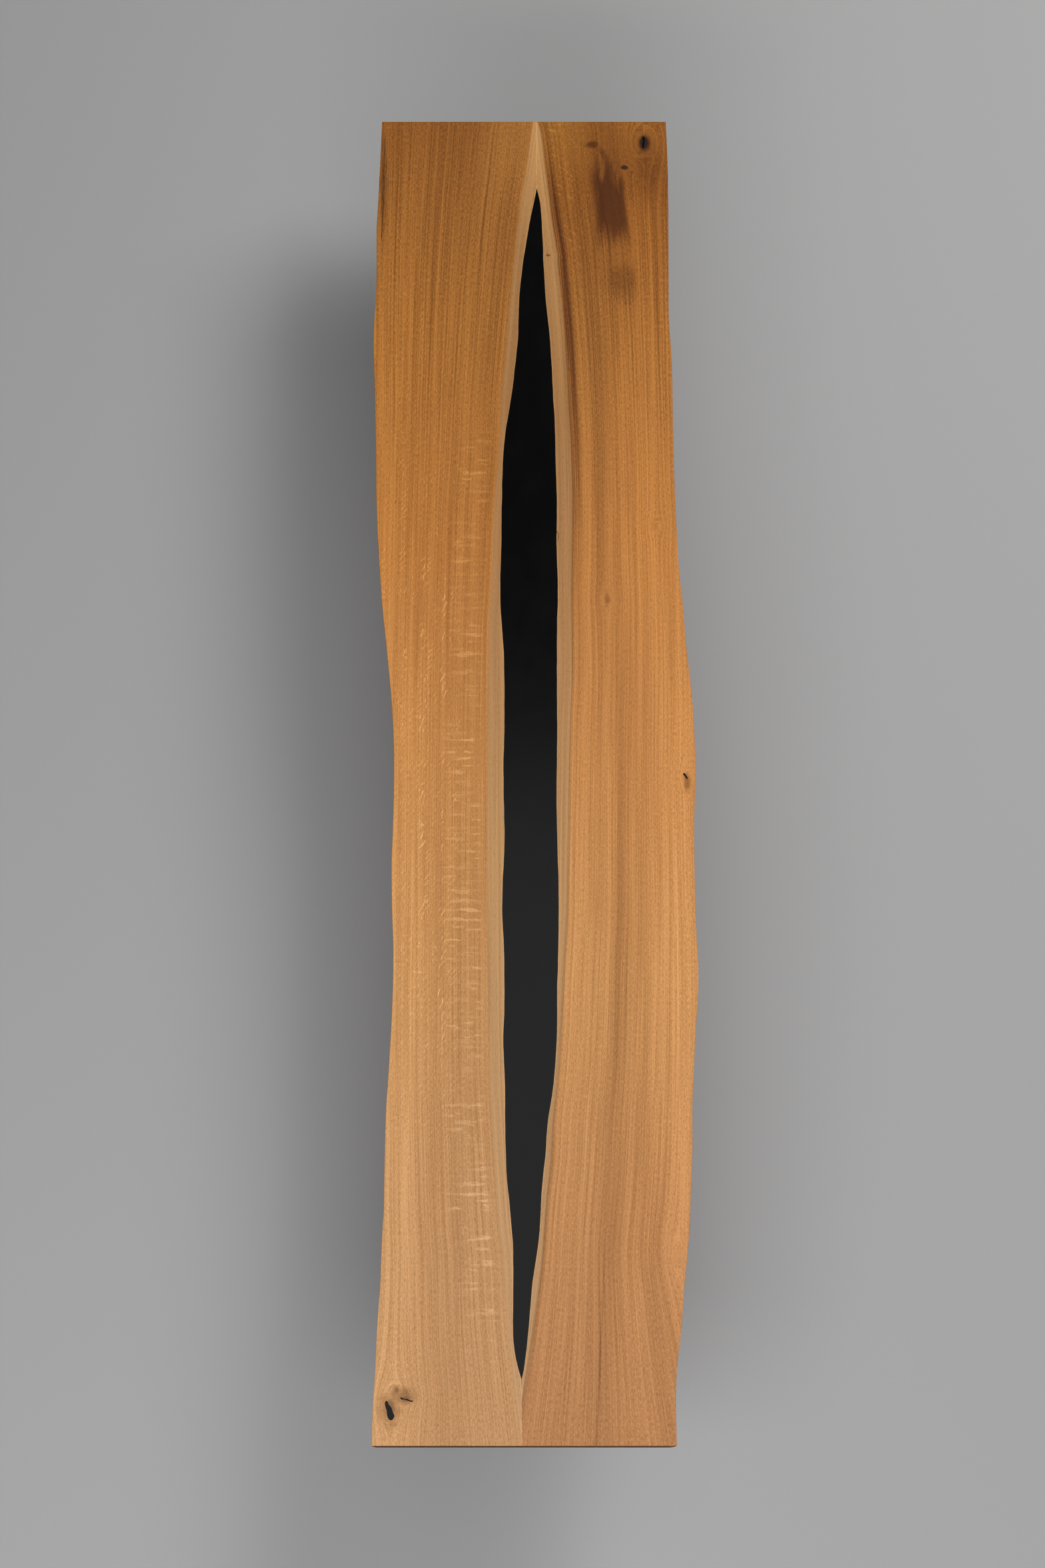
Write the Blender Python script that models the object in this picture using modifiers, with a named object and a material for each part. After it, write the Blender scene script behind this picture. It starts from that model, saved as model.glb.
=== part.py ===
"""A long live-edge oak table: the two halves of a split log, their natural edges turned inwards on a
river of black resin, standing on two steel skid frames.

Metres, +Z up. +X runs across the table and +Y along it, towards the far end. The origin is on the floor,
under the middle of the table's bounding box. Each object is one piece, as the table would come apart.
"""

import math

import bmesh
import bpy
import numpy as np
from mathutils import Matrix, Vector

# ---------------------------------------------------------------- driving dimensions

LENGTH = 4.5
HEIGHT = 0.75
THICKNESS = 0.05
CLEARANCE = 0.0003  # left between solids that touch

TOP_FACE = HEIGHT
UNDERSIDE = HEIGHT - THICKNESS

STATION_STEP = 0.05  # spacing of the plank's cross-sections
ARRIS = 0.0015  # softened upper and lower corners
RIVER_TAPER = 0.85  # the river's width at the underside, as a share of its width at the top
RIVER_TIP_STOP = 0.004  # the resin ends this far short of each tip, where it's a hair wide

# Each edge of the top face as (y, x), from the far end to the near end.
LEFT_OUTER_EDGE = [
    (2.250, -0.5145), (2.085, -0.5205), (1.940, -0.5265), (1.850, -0.5305), (1.724, -0.5292),
    (1.620, -0.5305), (1.509, -0.5367), (1.438, -0.5369), (1.296, -0.5326), (1.084, -0.5266),
    (0.873, -0.5228), (0.733, -0.5156), (0.525, -0.5008), (0.387, -0.4863), (0.181, -0.4667),
    (0.080, -0.4610), (-0.023, -0.4585), (-0.227, -0.4608), (-0.361, -0.4643), (-0.495, -0.4620),
    (-0.629, -0.4570), (-0.828, -0.4590), (-1.026, -0.4683), (-1.158, -0.4760), (-1.354, -0.4801),
    (-1.484, -0.4817), (-1.613, -0.4876), (-1.742, -0.4915), (-1.870, -0.5000), (-1.998, -0.5046),
    (-2.125, -0.5121), (-2.250, -0.5145),
]
LEFT_RIVER_EDGE = [
    (2.0097, 0.0130), (1.940, -0.0005), (1.868, -0.0144), (1.796, -0.0255), (1.724, -0.0359),
    (1.652, -0.0435), (1.580, -0.0482), (1.509, -0.0498), (1.438, -0.0532), (1.366, -0.0611),
    (1.296, -0.0689), (1.225, -0.0783), (1.154, -0.0905), (1.084, -0.0985), (1.013, -0.1023),
    (0.873, -0.1050), (0.733, -0.1063), (0.595, -0.1098), (0.525, -0.1083), (0.456, -0.1039),
    (0.387, -0.0989), (0.318, -0.0967), (0.100, -0.0962), (-0.023, -0.0987), (-0.159, -0.0967),
    (-0.294, -0.0952), (-0.428, -0.1012), (-0.495, -0.1026), (-0.629, -0.0966), (-0.828, -0.0948),
    (-0.961, -0.0979), (-1.092, -0.0925), (-1.223, -0.0918), (-1.354, -0.0879), (-1.484, -0.0774),
    (-1.613, -0.0664), (-1.742, -0.0656), (-1.870, -0.0658), (-1.934, -0.0630), (-1.998, -0.0508),
    (-2.0424, -0.0385),
]
RIGHT_RIVER_EDGE = [
    (2.0097, 0.0130), (1.978, 0.0205), (1.940, 0.0265), (1.868, 0.0309), (1.796, 0.0338),
    (1.724, 0.0365), (1.652, 0.0402), (1.580, 0.0461), (1.509, 0.0533), (1.438, 0.0589),
    (1.296, 0.0663), (1.154, 0.0733), (1.050, 0.0758), (0.873, 0.0797), (0.733, 0.0783),
    (0.595, 0.0826), (0.456, 0.0793), (0.318, 0.0788), (0.045, 0.0791), (-0.159, 0.0764),
    (-0.294, 0.0795), (-0.495, 0.0834), (-0.629, 0.0817), (-0.762, 0.0778), (-0.894, 0.0768),
    (-0.961, 0.0741), (-1.026, 0.0702), (-1.092, 0.0640), (-1.158, 0.0545), (-1.223, 0.0448),
    (-1.288, 0.0410), (-1.354, 0.0345), (-1.419, 0.0278), (-1.548, 0.0208), (-1.613, 0.0146),
    (-1.677, 0.0046), (-1.742, -0.0050), (-1.806, -0.0098), (-1.870, -0.0147), (-1.934, -0.0216),
    (-1.998, -0.0293), (-2.0424, -0.0385),
]
RIGHT_OUTER_EDGE = [
    (2.250, 0.4530), (2.085, 0.4585), (1.940, 0.4594), (1.724, 0.4586), (1.520, 0.4592),
    (1.438, 0.4643), (1.296, 0.4684), (1.154, 0.4692), (0.943, 0.4732), (0.803, 0.4783),
    (0.664, 0.4845), (0.525, 0.4972), (0.387, 0.5072), (0.250, 0.5214), (0.181, 0.5270),
    (0.113, 0.5301), (-0.023, 0.5341), (-0.227, 0.5275), (-0.428, 0.5282), (-0.562, 0.5304),
    (-0.696, 0.5369), (-0.800, 0.5350), (-0.894, 0.5276), (-1.026, 0.5197), (-1.158, 0.5135),
    (-1.288, 0.5125), (-1.419, 0.5069), (-1.548, 0.5014), (-1.613, 0.4963), (-1.742, 0.4825),
    (-1.870, 0.4729), (-1.998, 0.4576), (-2.070, 0.4535), (-2.250, 0.4543),
]

# How far the outer edge leans in under the top face, and the slow change of that lean along the plank.
LEFT_UNDERCUT = 0.011
RIGHT_UNDERCUT = 0.017
UNDERCUT_SWING = 0.003
UNDERCUT_WAVE = 0.9

# Resin fills of the open knots: the middle of each, its depth, and its outline about that middle.
KNOT_FILL_DEPTH = 0.018
KNOT_FILLS = {
    "knot_fill_large": {
        "plank": "left_plank",
        "middle": (-0.457, -2.138),
        "outline": [
            (-0.011, 0.031), (-0.004, 0.020), (0.005, 0.009), (0.009, -0.004), (0.0145, -0.018),
            (0.0120, -0.024), (0.0055, -0.031), (-0.003, -0.028), (-0.008, -0.018), (-0.0105, 0.000),
            (-0.0150, 0.014), (-0.0160, 0.025),
        ],
    },
    "knot_fill_small": {
        "plank": "left_plank",
        "middle": (-0.403, -2.102),
        "outline": [
            (-0.0205, 0.0060), (-0.0145, 0.0045), (-0.0085, 0.0012), (0.0015, 0.0012), (0.0100, -0.0035),
            (0.0195, -0.0052), (0.0150, -0.0082), (0.0070, -0.0065), (-0.0030, -0.0032), (-0.0110, -0.0010),
            (-0.0175, -0.0012),
        ],
    },
    "knot_fill_far": {
        "plank": "right_plank",
        "middle": (0.377, 2.174),
        "outline": [
            (-0.0010, 0.0225), (0.0040, 0.0140), (0.0032, 0.0000), (0.0012, -0.0160), (-0.0025, -0.0215),
            (-0.0048, -0.0120), (-0.0030, 0.0040),
        ],
    },
    "knot_fill_edge": {
        "plank": "right_plank",
        "middle": (0.501, -0.055),
        "outline": [
            (-0.0070, 0.0098), (-0.0034, 0.0100), (0.0020, 0.0015), (0.0062, -0.0095), (0.0035, -0.0092),
            (-0.0025, -0.0012), (-0.0080, 0.0060),
        ],
    },
}

# Steel channels let into the underside across the grain, to keep the top flat.
STIFFENER_STATIONS = {"near": -2.02, "middle": 0.0, "far": 2.02}
STIFFENER_LENGTH = 0.80
STIFFENER_WIDTH = 0.060
STIFFENER_FLANGE = 0.020
STEEL_WALL = 0.003
STIFFENER_SETBACK = 0.0005  # the web lies this deep below the underside's plane
STIFFENER_SCREW_PLACES = (-0.34, -0.20, 0.20, 0.34)
SCREW_SLOT_WIDTH = 0.006
SCREW_SLOT_LENGTH = 0.014
SCREW_HEAD_RADIUS = 0.0055
SCREW_HEAD_HEIGHT = 0.003
SCREW_SHANK_RADIUS = 0.0025
SCREW_LENGTH = 0.022

# Skid frames of welded box tube under a slotted plate.
FRAME_STATIONS = {"near": -1.5, "far": 1.5}
FRAME_WIDTH = 0.78
TUBE_ALONG = 0.080  # the tube's size along the table
TUBE_ACROSS = 0.040  # and in the frame's own plane
TUBE_CORNER = 0.004
PLATE_THICKNESS = 0.008
PLATE_WIDTH = 0.100
BOLT_PLACES = (-0.31, -0.16, 0.16, 0.31)
BOLT_SLOT_WIDTH = 0.0094
BOLT_SLOT_LENGTH = 0.022
BOLT_HEAD_RADIUS = 0.0095
BOLT_HEAD_HEIGHT = 0.005
BOLT_SHANK_RADIUS = 0.004
BOLT_LENGTH = 0.028
SOCKET_SIZE = 0.0050  # across the flats of the bolt's hexagon socket
SOCKET_DEPTH = 0.003
INSERT_RADIUS = 0.008
INSERT_LENGTH = 0.025
GLIDE_RADIUS = 0.020
GLIDE_HEIGHT = 0.006
GLIDE_INSET = 0.055  # from the runner's end to the glide's middle
TURNED_STEPS = 16

# ---------------------------------------------------------------- scene, collections and materials


def clear_scene():
    for obj in list(bpy.data.objects):
        bpy.data.objects.remove(obj)


def new_collection(name):
    collection = bpy.data.collections.new(name)
    bpy.context.scene.collection.children.link(collection)
    return collection


def new_material(name, colour, roughness, metallic=0.0):
    material = bpy.data.materials.new(name)
    material.use_nodes = True
    shader = material.node_tree.nodes["Principled BSDF"]
    shader.inputs["Base Color"].default_value = (*colour, 1.0)
    shader.inputs["Roughness"].default_value = roughness
    shader.inputs["Metallic"].default_value = metallic
    return material


clear_scene()
TABLE = new_collection("live_edge_river_table")
CUTTERS = new_collection("cutters")

OAK = new_material("oiled_oak", (0.46, 0.24, 0.09), 0.5)
RESIN = new_material("black_resin", (0.008, 0.008, 0.009), 0.35)
BLACK_STEEL = new_material("black_powder_coat", (0.02, 0.02, 0.022), 0.55)
ZINC = new_material("black_zinc", (0.10, 0.10, 0.11), 0.4, 1.0)
BRASS = new_material("brass", (0.60, 0.43, 0.18), 0.35, 1.0)
FELT = new_material("black_glide", (0.03, 0.03, 0.03), 0.9)


def place(obj, material):
    """Puts a finished piece in the table's collection, with its material."""
    TABLE.objects.link(obj)
    obj.data.materials.clear()
    obj.data.materials.append(material)
    return obj


def make_cutter(obj):
    CUTTERS.objects.link(obj)
    obj.hide_render = True
    obj.display_type = "WIRE"
    return obj


def cut(obj, cutter):
    modifier = obj.modifiers.new("cut_" + cutter.name, "BOOLEAN")
    modifier.operation = "DIFFERENCE"
    modifier.object = cutter


# ---------------------------------------------------------------- the natural edges


def edge_curve(points):
    """x as a smooth function of y through the points: a cubic on each span, with slopes taken from the
    neighbours on both sides."""
    y, x = np.array(sorted(points)).T
    slopes = np.gradient(x, y)

    def at(station):
        i = int(np.clip(np.searchsorted(y, station) - 1, 0, len(y) - 2))
        span = y[i + 1] - y[i]
        t = min(max((station - y[i]) / span, 0.0), 1.0)
        rise = (1 + 2 * t) * (1 - t) ** 2 * x[i] + t * t * (3 - 2 * t) * x[i + 1]
        lean = t * (1 - t) ** 2 * slopes[i] - t * t * (1 - t) * slopes[i + 1]
        return rise + lean * span

    return at


left_outer = edge_curve(LEFT_OUTER_EDGE)
right_outer = edge_curve(RIGHT_OUTER_EDGE)
left_river = edge_curve(LEFT_RIVER_EDGE)
right_river = edge_curve(RIGHT_RIVER_EDGE)

FAR_TIP = LEFT_RIVER_EDGE[0]
NEAR_TIP = LEFT_RIVER_EDGE[-1]


def joint_line(station):
    """The glued joint beyond each tip of the river runs straight out to the end of the table."""
    return FAR_TIP[1] if station > 0 else NEAR_TIP[1]


def in_river(station):
    return NEAR_TIP[0] < station < FAR_TIP[0]


def inner_edge(side, station):
    """A plank's edge towards the river, or along the joint, as (x at the top, x at the underside)."""
    if not in_river(station):
        x = joint_line(station) + side * CLEARANCE / 2
        return x, x
    edges = left_river(station), right_river(station)
    middle = sum(edges) / 2
    top = edges[0] if side < 0 else edges[1]
    top = side * max(side * top, side * middle + CLEARANCE / 2)
    return top, middle + (top - middle) * RIVER_TAPER


def stations():
    """The y of each cross-section: evenly spaced, one at each tip of the river and one just inside it."""
    count = round(LENGTH / STATION_STEP)
    even = [LENGTH * (i / count - 0.5) for i in range(count + 1)]
    tips = [FAR_TIP[0], FAR_TIP[0] - RIVER_TIP_STOP, NEAR_TIP[0] + RIVER_TIP_STOP, NEAR_TIP[0]]
    return sorted([y for y in even if min(abs(y - tip) for tip in tips) > 0.01] + tips)


# ---------------------------------------------------------------- shapes


def loft(name, rings):
    """One closed solid through rings of points, all with the same number of points. Each strip is split
    from its higher corner to the lower one ahead, so that two lofts that face each other split alike."""
    bm = bmesh.new()
    rows = [[bm.verts.new(point) for point in ring] for ring in rings]
    for row, following in zip(rows, rows[1:]):
        for i in range(len(row)):
            j = (i + 1) % len(row)
            high, low = (i, j) if row[i].co.z >= row[j].co.z else (j, i)
            bm.faces.new((row[high], row[low], following[low]))
            bm.faces.new((row[high], following[low], following[high]))
    bm.faces.new(rows[0])
    bm.faces.new(rows[-1])
    bmesh.ops.recalc_face_normals(bm, faces=bm.faces[:])
    mesh = bpy.data.meshes.new(name)
    bm.to_mesh(mesh)
    bm.free()
    return bpy.data.objects.new(name, mesh)


def prism(name, outlines, depth, matrix, smooth=False):
    """A flat outline, with any holes in it, as a mesh depth thick about its own plane."""
    curve = bpy.data.curves.new(name, "CURVE")
    curve.dimensions = "2D"
    curve.fill_mode = "BOTH"
    curve.extrude = depth / 2
    curve.resolution_u = 3
    for outline in outlines:
        spline = curve.splines.new("BEZIER" if smooth else "POLY")
        points = spline.bezier_points if smooth else spline.points
        points.add(len(outline) - 1)
        for point, (u, v) in zip(points, outline):
            point.co = (u, v, 0) if smooth else (u, v, 0, 1)
            if smooth:
                point.handle_left_type = point.handle_right_type = "AUTO"
        spline.use_cyclic_u = True
    flat = bpy.data.objects.new(name + "_outline", curve)
    bpy.context.scene.collection.objects.link(flat)
    graph = bpy.context.evaluated_depsgraph_get()
    mesh = bpy.data.meshes.new_from_object(flat.evaluated_get(graph))
    bpy.data.objects.remove(flat)
    bm = bmesh.new()
    bm.from_mesh(mesh)
    bmesh.ops.remove_doubles(bm, verts=bm.verts[:], dist=1e-6)
    bmesh.ops.recalc_face_normals(bm, faces=bm.faces[:])
    bm.to_mesh(mesh)
    bm.free()
    mesh.name = name
    obj = bpy.data.objects.new(name, mesh)
    obj.matrix_world = matrix
    return obj


def turned(name, profile, place_at, closed=False):
    """A turned piece: the profile of (radius, height), from its top down, spun about the vertical axis."""
    bm = bmesh.new()
    verts = [bm.verts.new((radius, 0, height)) for radius, height in profile]
    for first, second in zip(verts, verts[1:]):
        bm.edges.new((first, second))
    if closed:
        bm.edges.new((verts[-1], verts[0]))
    mesh = bpy.data.meshes.new(name)
    bm.to_mesh(mesh)
    bm.free()
    obj = bpy.data.objects.new(name, mesh)
    obj.location = place_at
    screw = obj.modifiers.new("turn", "SCREW")
    screw.steps = screw.render_steps = TURNED_STEPS
    screw.use_merge_vertices = True
    screw.merge_threshold = 0.00001
    return obj


def rectangle(width, height, corner=0.0):
    """Outline of a rectangle about its middle, with each corner cut to three points where it is rounded."""
    if not corner:
        return [(-width / 2, -height / 2), (width / 2, -height / 2), (width / 2, height / 2), (-width / 2, height / 2)]
    outline = []
    for turn, (sx, sy) in enumerate([(1, -1), (1, 1), (-1, 1), (-1, -1)]):
        centre = Vector((sx * (width / 2 - corner), sy * (height / 2 - corner)))
        for step in range(3):
            angle = math.radians(-90 + 90 * turn + 45 * step)
            outline.append(tuple(centre + corner * Vector((math.cos(angle), math.sin(angle)))))
    return outline


def slot(middle, length, width):
    """Outline of a slotted hole along u, with half-round ends of five points."""
    reach = (length - width) / 2
    outline = []
    for sign in (1, -1):
        for step in range(5):
            angle = math.radians(-90 + 45 * step) + (0 if sign > 0 else math.pi)
            outline.append((middle + sign * reach + width / 2 * math.cos(angle), width / 2 * math.sin(angle)))
    return outline


def outset(outline, distance):
    """A closed outline with every point moved outwards, square to the line between its neighbours."""
    points = [Vector(point) for point in outline]
    turns = sum(a.x * b.y - a.y * b.x for a, b in zip(points, points[1:] + points[:1]))
    moved = []
    for i, point in enumerate(points):
        run = (points[(i + 1) % len(points)] - points[i - 1]).normalized()
        outwards = Vector((run.y, -run.x)) * math.copysign(1, turns)
        moved.append(tuple(point + outwards * distance))
    return moved


# ---------------------------------------------------------------- the wooden top


def plank_section(side, outer, undercut, station):
    """One cross-section of a plank: flat top and underside, a leaning natural edge towards the river, and
    an outer edge that swells a little below the top face and then leans in."""
    top_in, low_in = inner_edge(side, station)
    out = outer(station)
    lean = undercut + UNDERCUT_SWING * math.sin(2 * math.pi * station / UNDERCUT_WAVE)
    profile = [
        (top_in, TOP_FACE),
        (out - side * ARRIS, TOP_FACE),
        (out, TOP_FACE - ARRIS),
        (out - side * 0.15 * lean, TOP_FACE - 0.35 * THICKNESS),
        (out - side * 0.55 * lean, TOP_FACE - 0.72 * THICKNESS),
        (out - side * (lean - ARRIS), UNDERSIDE + 2 * ARRIS),
        (out - side * (lean + ARRIS), UNDERSIDE),
        (low_in, UNDERSIDE),
    ]
    return [(x, station, z) for x, z in profile]


def build_plank(name, side, outer, undercut):
    rings = [plank_section(side, outer, undercut, y) for y in stations()]
    return place(loft(name, rings), OAK)


def build_river():
    """The cast resin fills the river between the planks, a clearance away from the wood."""
    rings = []
    for y in filter(in_river, stations()):
        (left_top, left_low), (right_top, right_low) = inner_edge(-1, y), inner_edge(1, y)
        rings.append([
            (left_top + CLEARANCE, y, TOP_FACE),
            (right_top - CLEARANCE, y, TOP_FACE),
            (right_low - CLEARANCE, y, UNDERSIDE),
            (left_low + CLEARANCE, y, UNDERSIDE),
        ])
    return place(loft("river_resin", rings), RESIN)


def build_knot_fills(planks):
    """Each open knot is a pocket in its plank, poured flush with black resin."""
    for name, knot in KNOT_FILLS.items():
        x, y = knot["middle"]
        fill_at = Matrix.Translation((x, y, TOP_FACE - KNOT_FILL_DEPTH / 2))
        place(prism(name, [knot["outline"]], KNOT_FILL_DEPTH, fill_at, smooth=True), RESIN)
        grown = outset(knot["outline"], CLEARANCE)
        pocket_depth = 2 * (KNOT_FILL_DEPTH + CLEARANCE)
        pocket = prism(name + "_pocket", [grown], pocket_depth, Matrix.Translation((x, y, TOP_FACE)), smooth=True)
        cut(planks[knot["plank"]], make_cutter(pocket))


# ---------------------------------------------------------------- stiffeners under the top


def middle_of_top(station):
    return (left_outer(station) + right_outer(station)) / 2


def channel_outline(grow=0.0):
    """The channel's U, in the (across the channel, up) plane, its web at the bottom."""
    half = STIFFENER_WIDTH / 2 + grow
    inside = STIFFENER_WIDTH / 2 - STEEL_WALL - grow
    low = -2 * STIFFENER_SETBACK if grow else 0.0
    return [
        (-half, low), (half, low), (half, STIFFENER_FLANGE + grow), (inside, STIFFENER_FLANGE + grow),
        (inside, STEEL_WALL + grow), (-inside, STEEL_WALL + grow), (-inside, STIFFENER_FLANGE + grow),
        (-half, STIFFENER_FLANGE + grow),
    ]


def along_x(origin):
    """Stands an outline's (u, v) up as (y, z), so that its depth runs along x."""
    turn = Matrix(((0, 0, 1), (1, 0, 0), (0, 1, 0))).to_4x4()
    return Matrix.Translation(origin) @ turn


def build_stiffener(place_name, station, wood):
    base = Vector((middle_of_top(station), station, UNDERSIDE + STIFFENER_SETBACK))
    channel = prism("stiffener_" + place_name, [channel_outline()], STIFFENER_LENGTH, along_x(base))
    place(channel, BLACK_STEEL)
    groove_at = along_x(base)
    groove_length = STIFFENER_LENGTH + 2 * CLEARANCE
    groove = make_cutter(prism("groove_" + place_name, [channel_outline(CLEARANCE)], groove_length, groove_at))
    for piece in wood:
        cut(piece, groove)
    slots = [slot(x, SCREW_SLOT_LENGTH, SCREW_SLOT_WIDTH) for x in STIFFENER_SCREW_PLACES]
    for i, outline in enumerate(slots):
        slot_at = Matrix.Translation(base + Vector((0, 0, STEEL_WALL / 2)))
        slot_cutter = prism(f"screw_slot_{place_name}_{i + 1}", [outline], 3 * STEEL_WALL, slot_at)
        cut(channel, make_cutter(slot_cutter))
    for i, x in enumerate(STIFFENER_SCREW_PLACES):
        build_stiffener_screw(f"stiffener_screw_{place_name}_{i + 1}", base + Vector((x, 0, 0)), wood)


def build_stiffener_screw(name, web_face, wood):
    """A pan-head wood screw, up through the channel's slot. web_face is on the web's lower face."""
    head_top = -CLEARANCE
    screw = turned(name, [
        (0, SCREW_LENGTH), (SCREW_SHANK_RADIUS * 0.4, SCREW_LENGTH - 0.002), (SCREW_SHANK_RADIUS, SCREW_LENGTH - 0.006),
        (SCREW_SHANK_RADIUS, head_top), (SCREW_HEAD_RADIUS, head_top), (SCREW_HEAD_RADIUS, head_top - 0.0014),
        (SCREW_HEAD_RADIUS * 0.7, head_top - SCREW_HEAD_HEIGHT), (0, head_top - SCREW_HEAD_HEIGHT),
    ], web_face)
    place(screw, ZINC)
    drill(name, web_face, SCREW_SHANK_RADIUS + CLEARANCE, SCREW_LENGTH + CLEARANCE, wood)


def drill(name, mouth, radius, depth, wood):
    """A blind round hole upwards from the underside, in whichever plank it falls on."""
    bm = bmesh.new()
    bmesh.ops.create_cone(bm, cap_ends=True, segments=TURNED_STEPS, radius1=radius, radius2=radius, depth=2 * depth)
    mesh = bpy.data.meshes.new(name + "_hole")
    bm.to_mesh(mesh)
    bm.free()
    hole = make_cutter(bpy.data.objects.new(name + "_hole", mesh))
    hole.location = mouth
    cut(wood[0] if mouth.x < (left_river(mouth.y) + right_river(mouth.y)) / 2 else wood[1], hole)


# ---------------------------------------------------------------- the skid frames


def mitred(obj, length, low_slope, high_slope):
    """Leans the ends of a tube that runs along its own z: each end is moved along z by slope times u."""
    for vert in obj.data.vertices:
        slope = high_slope if vert.co.z > 0 else low_slope
        end = length / 2 if vert.co.z > 0 else -length / 2
        vert.co.z = end + slope * vert.co.x
    return obj


def tube_outlines():
    inside = rectangle(TUBE_ACROSS - 2 * STEEL_WALL, TUBE_ALONG - 2 * STEEL_WALL)
    return [rectangle(TUBE_ACROSS, TUBE_ALONG, TUBE_CORNER), inside]


def build_frame(place_name, station, wood):
    """Two uprights, mitred to a runner on the floor and welded under a slotted plate."""
    plate_top = UNDERSIDE - CLEARANCE
    plate_z = plate_top - PLATE_THICKNESS / 2
    outline = [rectangle(FRAME_WIDTH, PLATE_WIDTH)] + [
        slot(x, BOLT_SLOT_LENGTH, BOLT_SLOT_WIDTH) for x in BOLT_PLACES
    ]
    plate = prism("frame_plate_" + place_name, outline, PLATE_THICKNESS, Matrix.Translation((0, station, plate_z)))
    place(plate, BLACK_STEEL)

    runner_low = GLIDE_HEIGHT + CLEARANCE
    upright_top = plate_top - PLATE_THICKNESS - CLEARANCE
    corner_gap = CLEARANCE * math.sqrt(2)
    runner = mitred(prism("frame_runner_" + place_name, tube_outlines(), FRAME_WIDTH, Matrix()),
                    FRAME_WIDTH - TUBE_ACROSS, -1, 1)
    turn_level = Matrix.Rotation(math.radians(90), 4, "Y")
    runner.matrix_world = Matrix.Translation((0, station, runner_low + TUBE_ACROSS / 2)) @ turn_level
    place(runner, BLACK_STEEL)

    # The mitre's middle is half a tube above the runner's lower face.
    mitre_z = runner_low + TUBE_ACROSS / 2 + corner_gap
    length = upright_top - mitre_z
    for side, hand in ((-1, "left"), (1, "right")):
        upright = mitred(prism(f"frame_upright_{place_name}_{hand}", tube_outlines(), length, Matrix()),
                         length, -side, 0)
        x = side * (FRAME_WIDTH - TUBE_ACROSS) / 2
        upright.matrix_world = Matrix.Translation((x, station, mitre_z + length / 2))
        place(upright, BLACK_STEEL)
        build_glide(f"glide_{place_name}_{hand}", Vector((side * (FRAME_WIDTH / 2 - GLIDE_INSET), station, 0)))
    for i, x in enumerate(BOLT_PLACES):
        build_bolt_and_insert(f"{place_name}_{i + 1}", Vector((x, station, UNDERSIDE)), wood)


def build_glide(name, floor_point):
    """A screwed-on plastic glide under the runner."""
    place(turned(name, [
        (0, GLIDE_HEIGHT), (GLIDE_RADIUS * 0.88, GLIDE_HEIGHT), (GLIDE_RADIUS, GLIDE_HEIGHT * 0.75),
        (GLIDE_RADIUS, GLIDE_HEIGHT * 0.25), (GLIDE_RADIUS * 0.9, 0), (0, 0),
    ], floor_point), FELT)


def build_bolt_and_insert(name, mouth, wood):
    """A button-head bolt, up through the plate's slot into a brass insert. mouth is on the underside."""
    seat = -CLEARANCE - PLATE_THICKNESS - CLEARANCE
    bolt = turned("frame_bolt_" + name, [
        (0, seat + BOLT_LENGTH), (BOLT_SHANK_RADIUS - 0.001, seat + BOLT_LENGTH),
        (BOLT_SHANK_RADIUS, seat + BOLT_LENGTH - 0.001), (BOLT_SHANK_RADIUS, seat), (BOLT_HEAD_RADIUS, seat),
        (BOLT_HEAD_RADIUS, seat - 0.0015), (BOLT_HEAD_RADIUS * 0.82, seat - 0.0038),
        (BOLT_HEAD_RADIUS * 0.45, seat - BOLT_HEAD_HEIGHT), (0, seat - BOLT_HEAD_HEIGHT),
    ], mouth)
    place(bolt, ZINC)
    bm = bmesh.new()
    corner = SOCKET_SIZE / math.sqrt(3)
    bmesh.ops.create_cone(bm, cap_ends=True, segments=6, radius1=corner, radius2=corner, depth=2 * SOCKET_DEPTH)
    mesh = bpy.data.meshes.new("socket_" + name)
    bm.to_mesh(mesh)
    bm.free()
    socket = make_cutter(bpy.data.objects.new("socket_" + name, mesh))
    socket.location = mouth + Vector((0, 0, seat - BOLT_HEAD_HEIGHT))
    cut(bolt, socket)
    bore = BOLT_SHANK_RADIUS + CLEARANCE
    place(turned("threaded_insert_" + name, [
        (bore, CLEARANCE), (bore, INSERT_LENGTH), (INSERT_RADIUS - 0.0005, INSERT_LENGTH),
        (INSERT_RADIUS, INSERT_LENGTH - 0.0015), (INSERT_RADIUS, CLEARANCE),
    ], mouth, closed=True), BRASS)
    drill("insert_" + name, mouth, INSERT_RADIUS + CLEARANCE, INSERT_LENGTH + 3 * CLEARANCE, wood)


# ---------------------------------------------------------------- the table


def build_table():
    planks = {
        "left_plank": build_plank("left_plank", -1, left_outer, LEFT_UNDERCUT),
        "right_plank": build_plank("right_plank", 1, right_outer, RIGHT_UNDERCUT),
    }
    river = build_river()
    build_knot_fills(planks)
    wood = [planks["left_plank"], planks["right_plank"], river]
    for place_name, station in STIFFENER_STATIONS.items():
        build_stiffener(place_name, station, wood)
    for place_name, station in FRAME_STATIONS.items():
        build_frame(place_name, station, wood)


build_table()
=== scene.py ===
"""How a long live-edge oak table looks: two halves of a split log either side of a river of black resin, on
steel skid frames. Metres, +Z up, +Y along the table to its far end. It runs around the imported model."""

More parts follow.
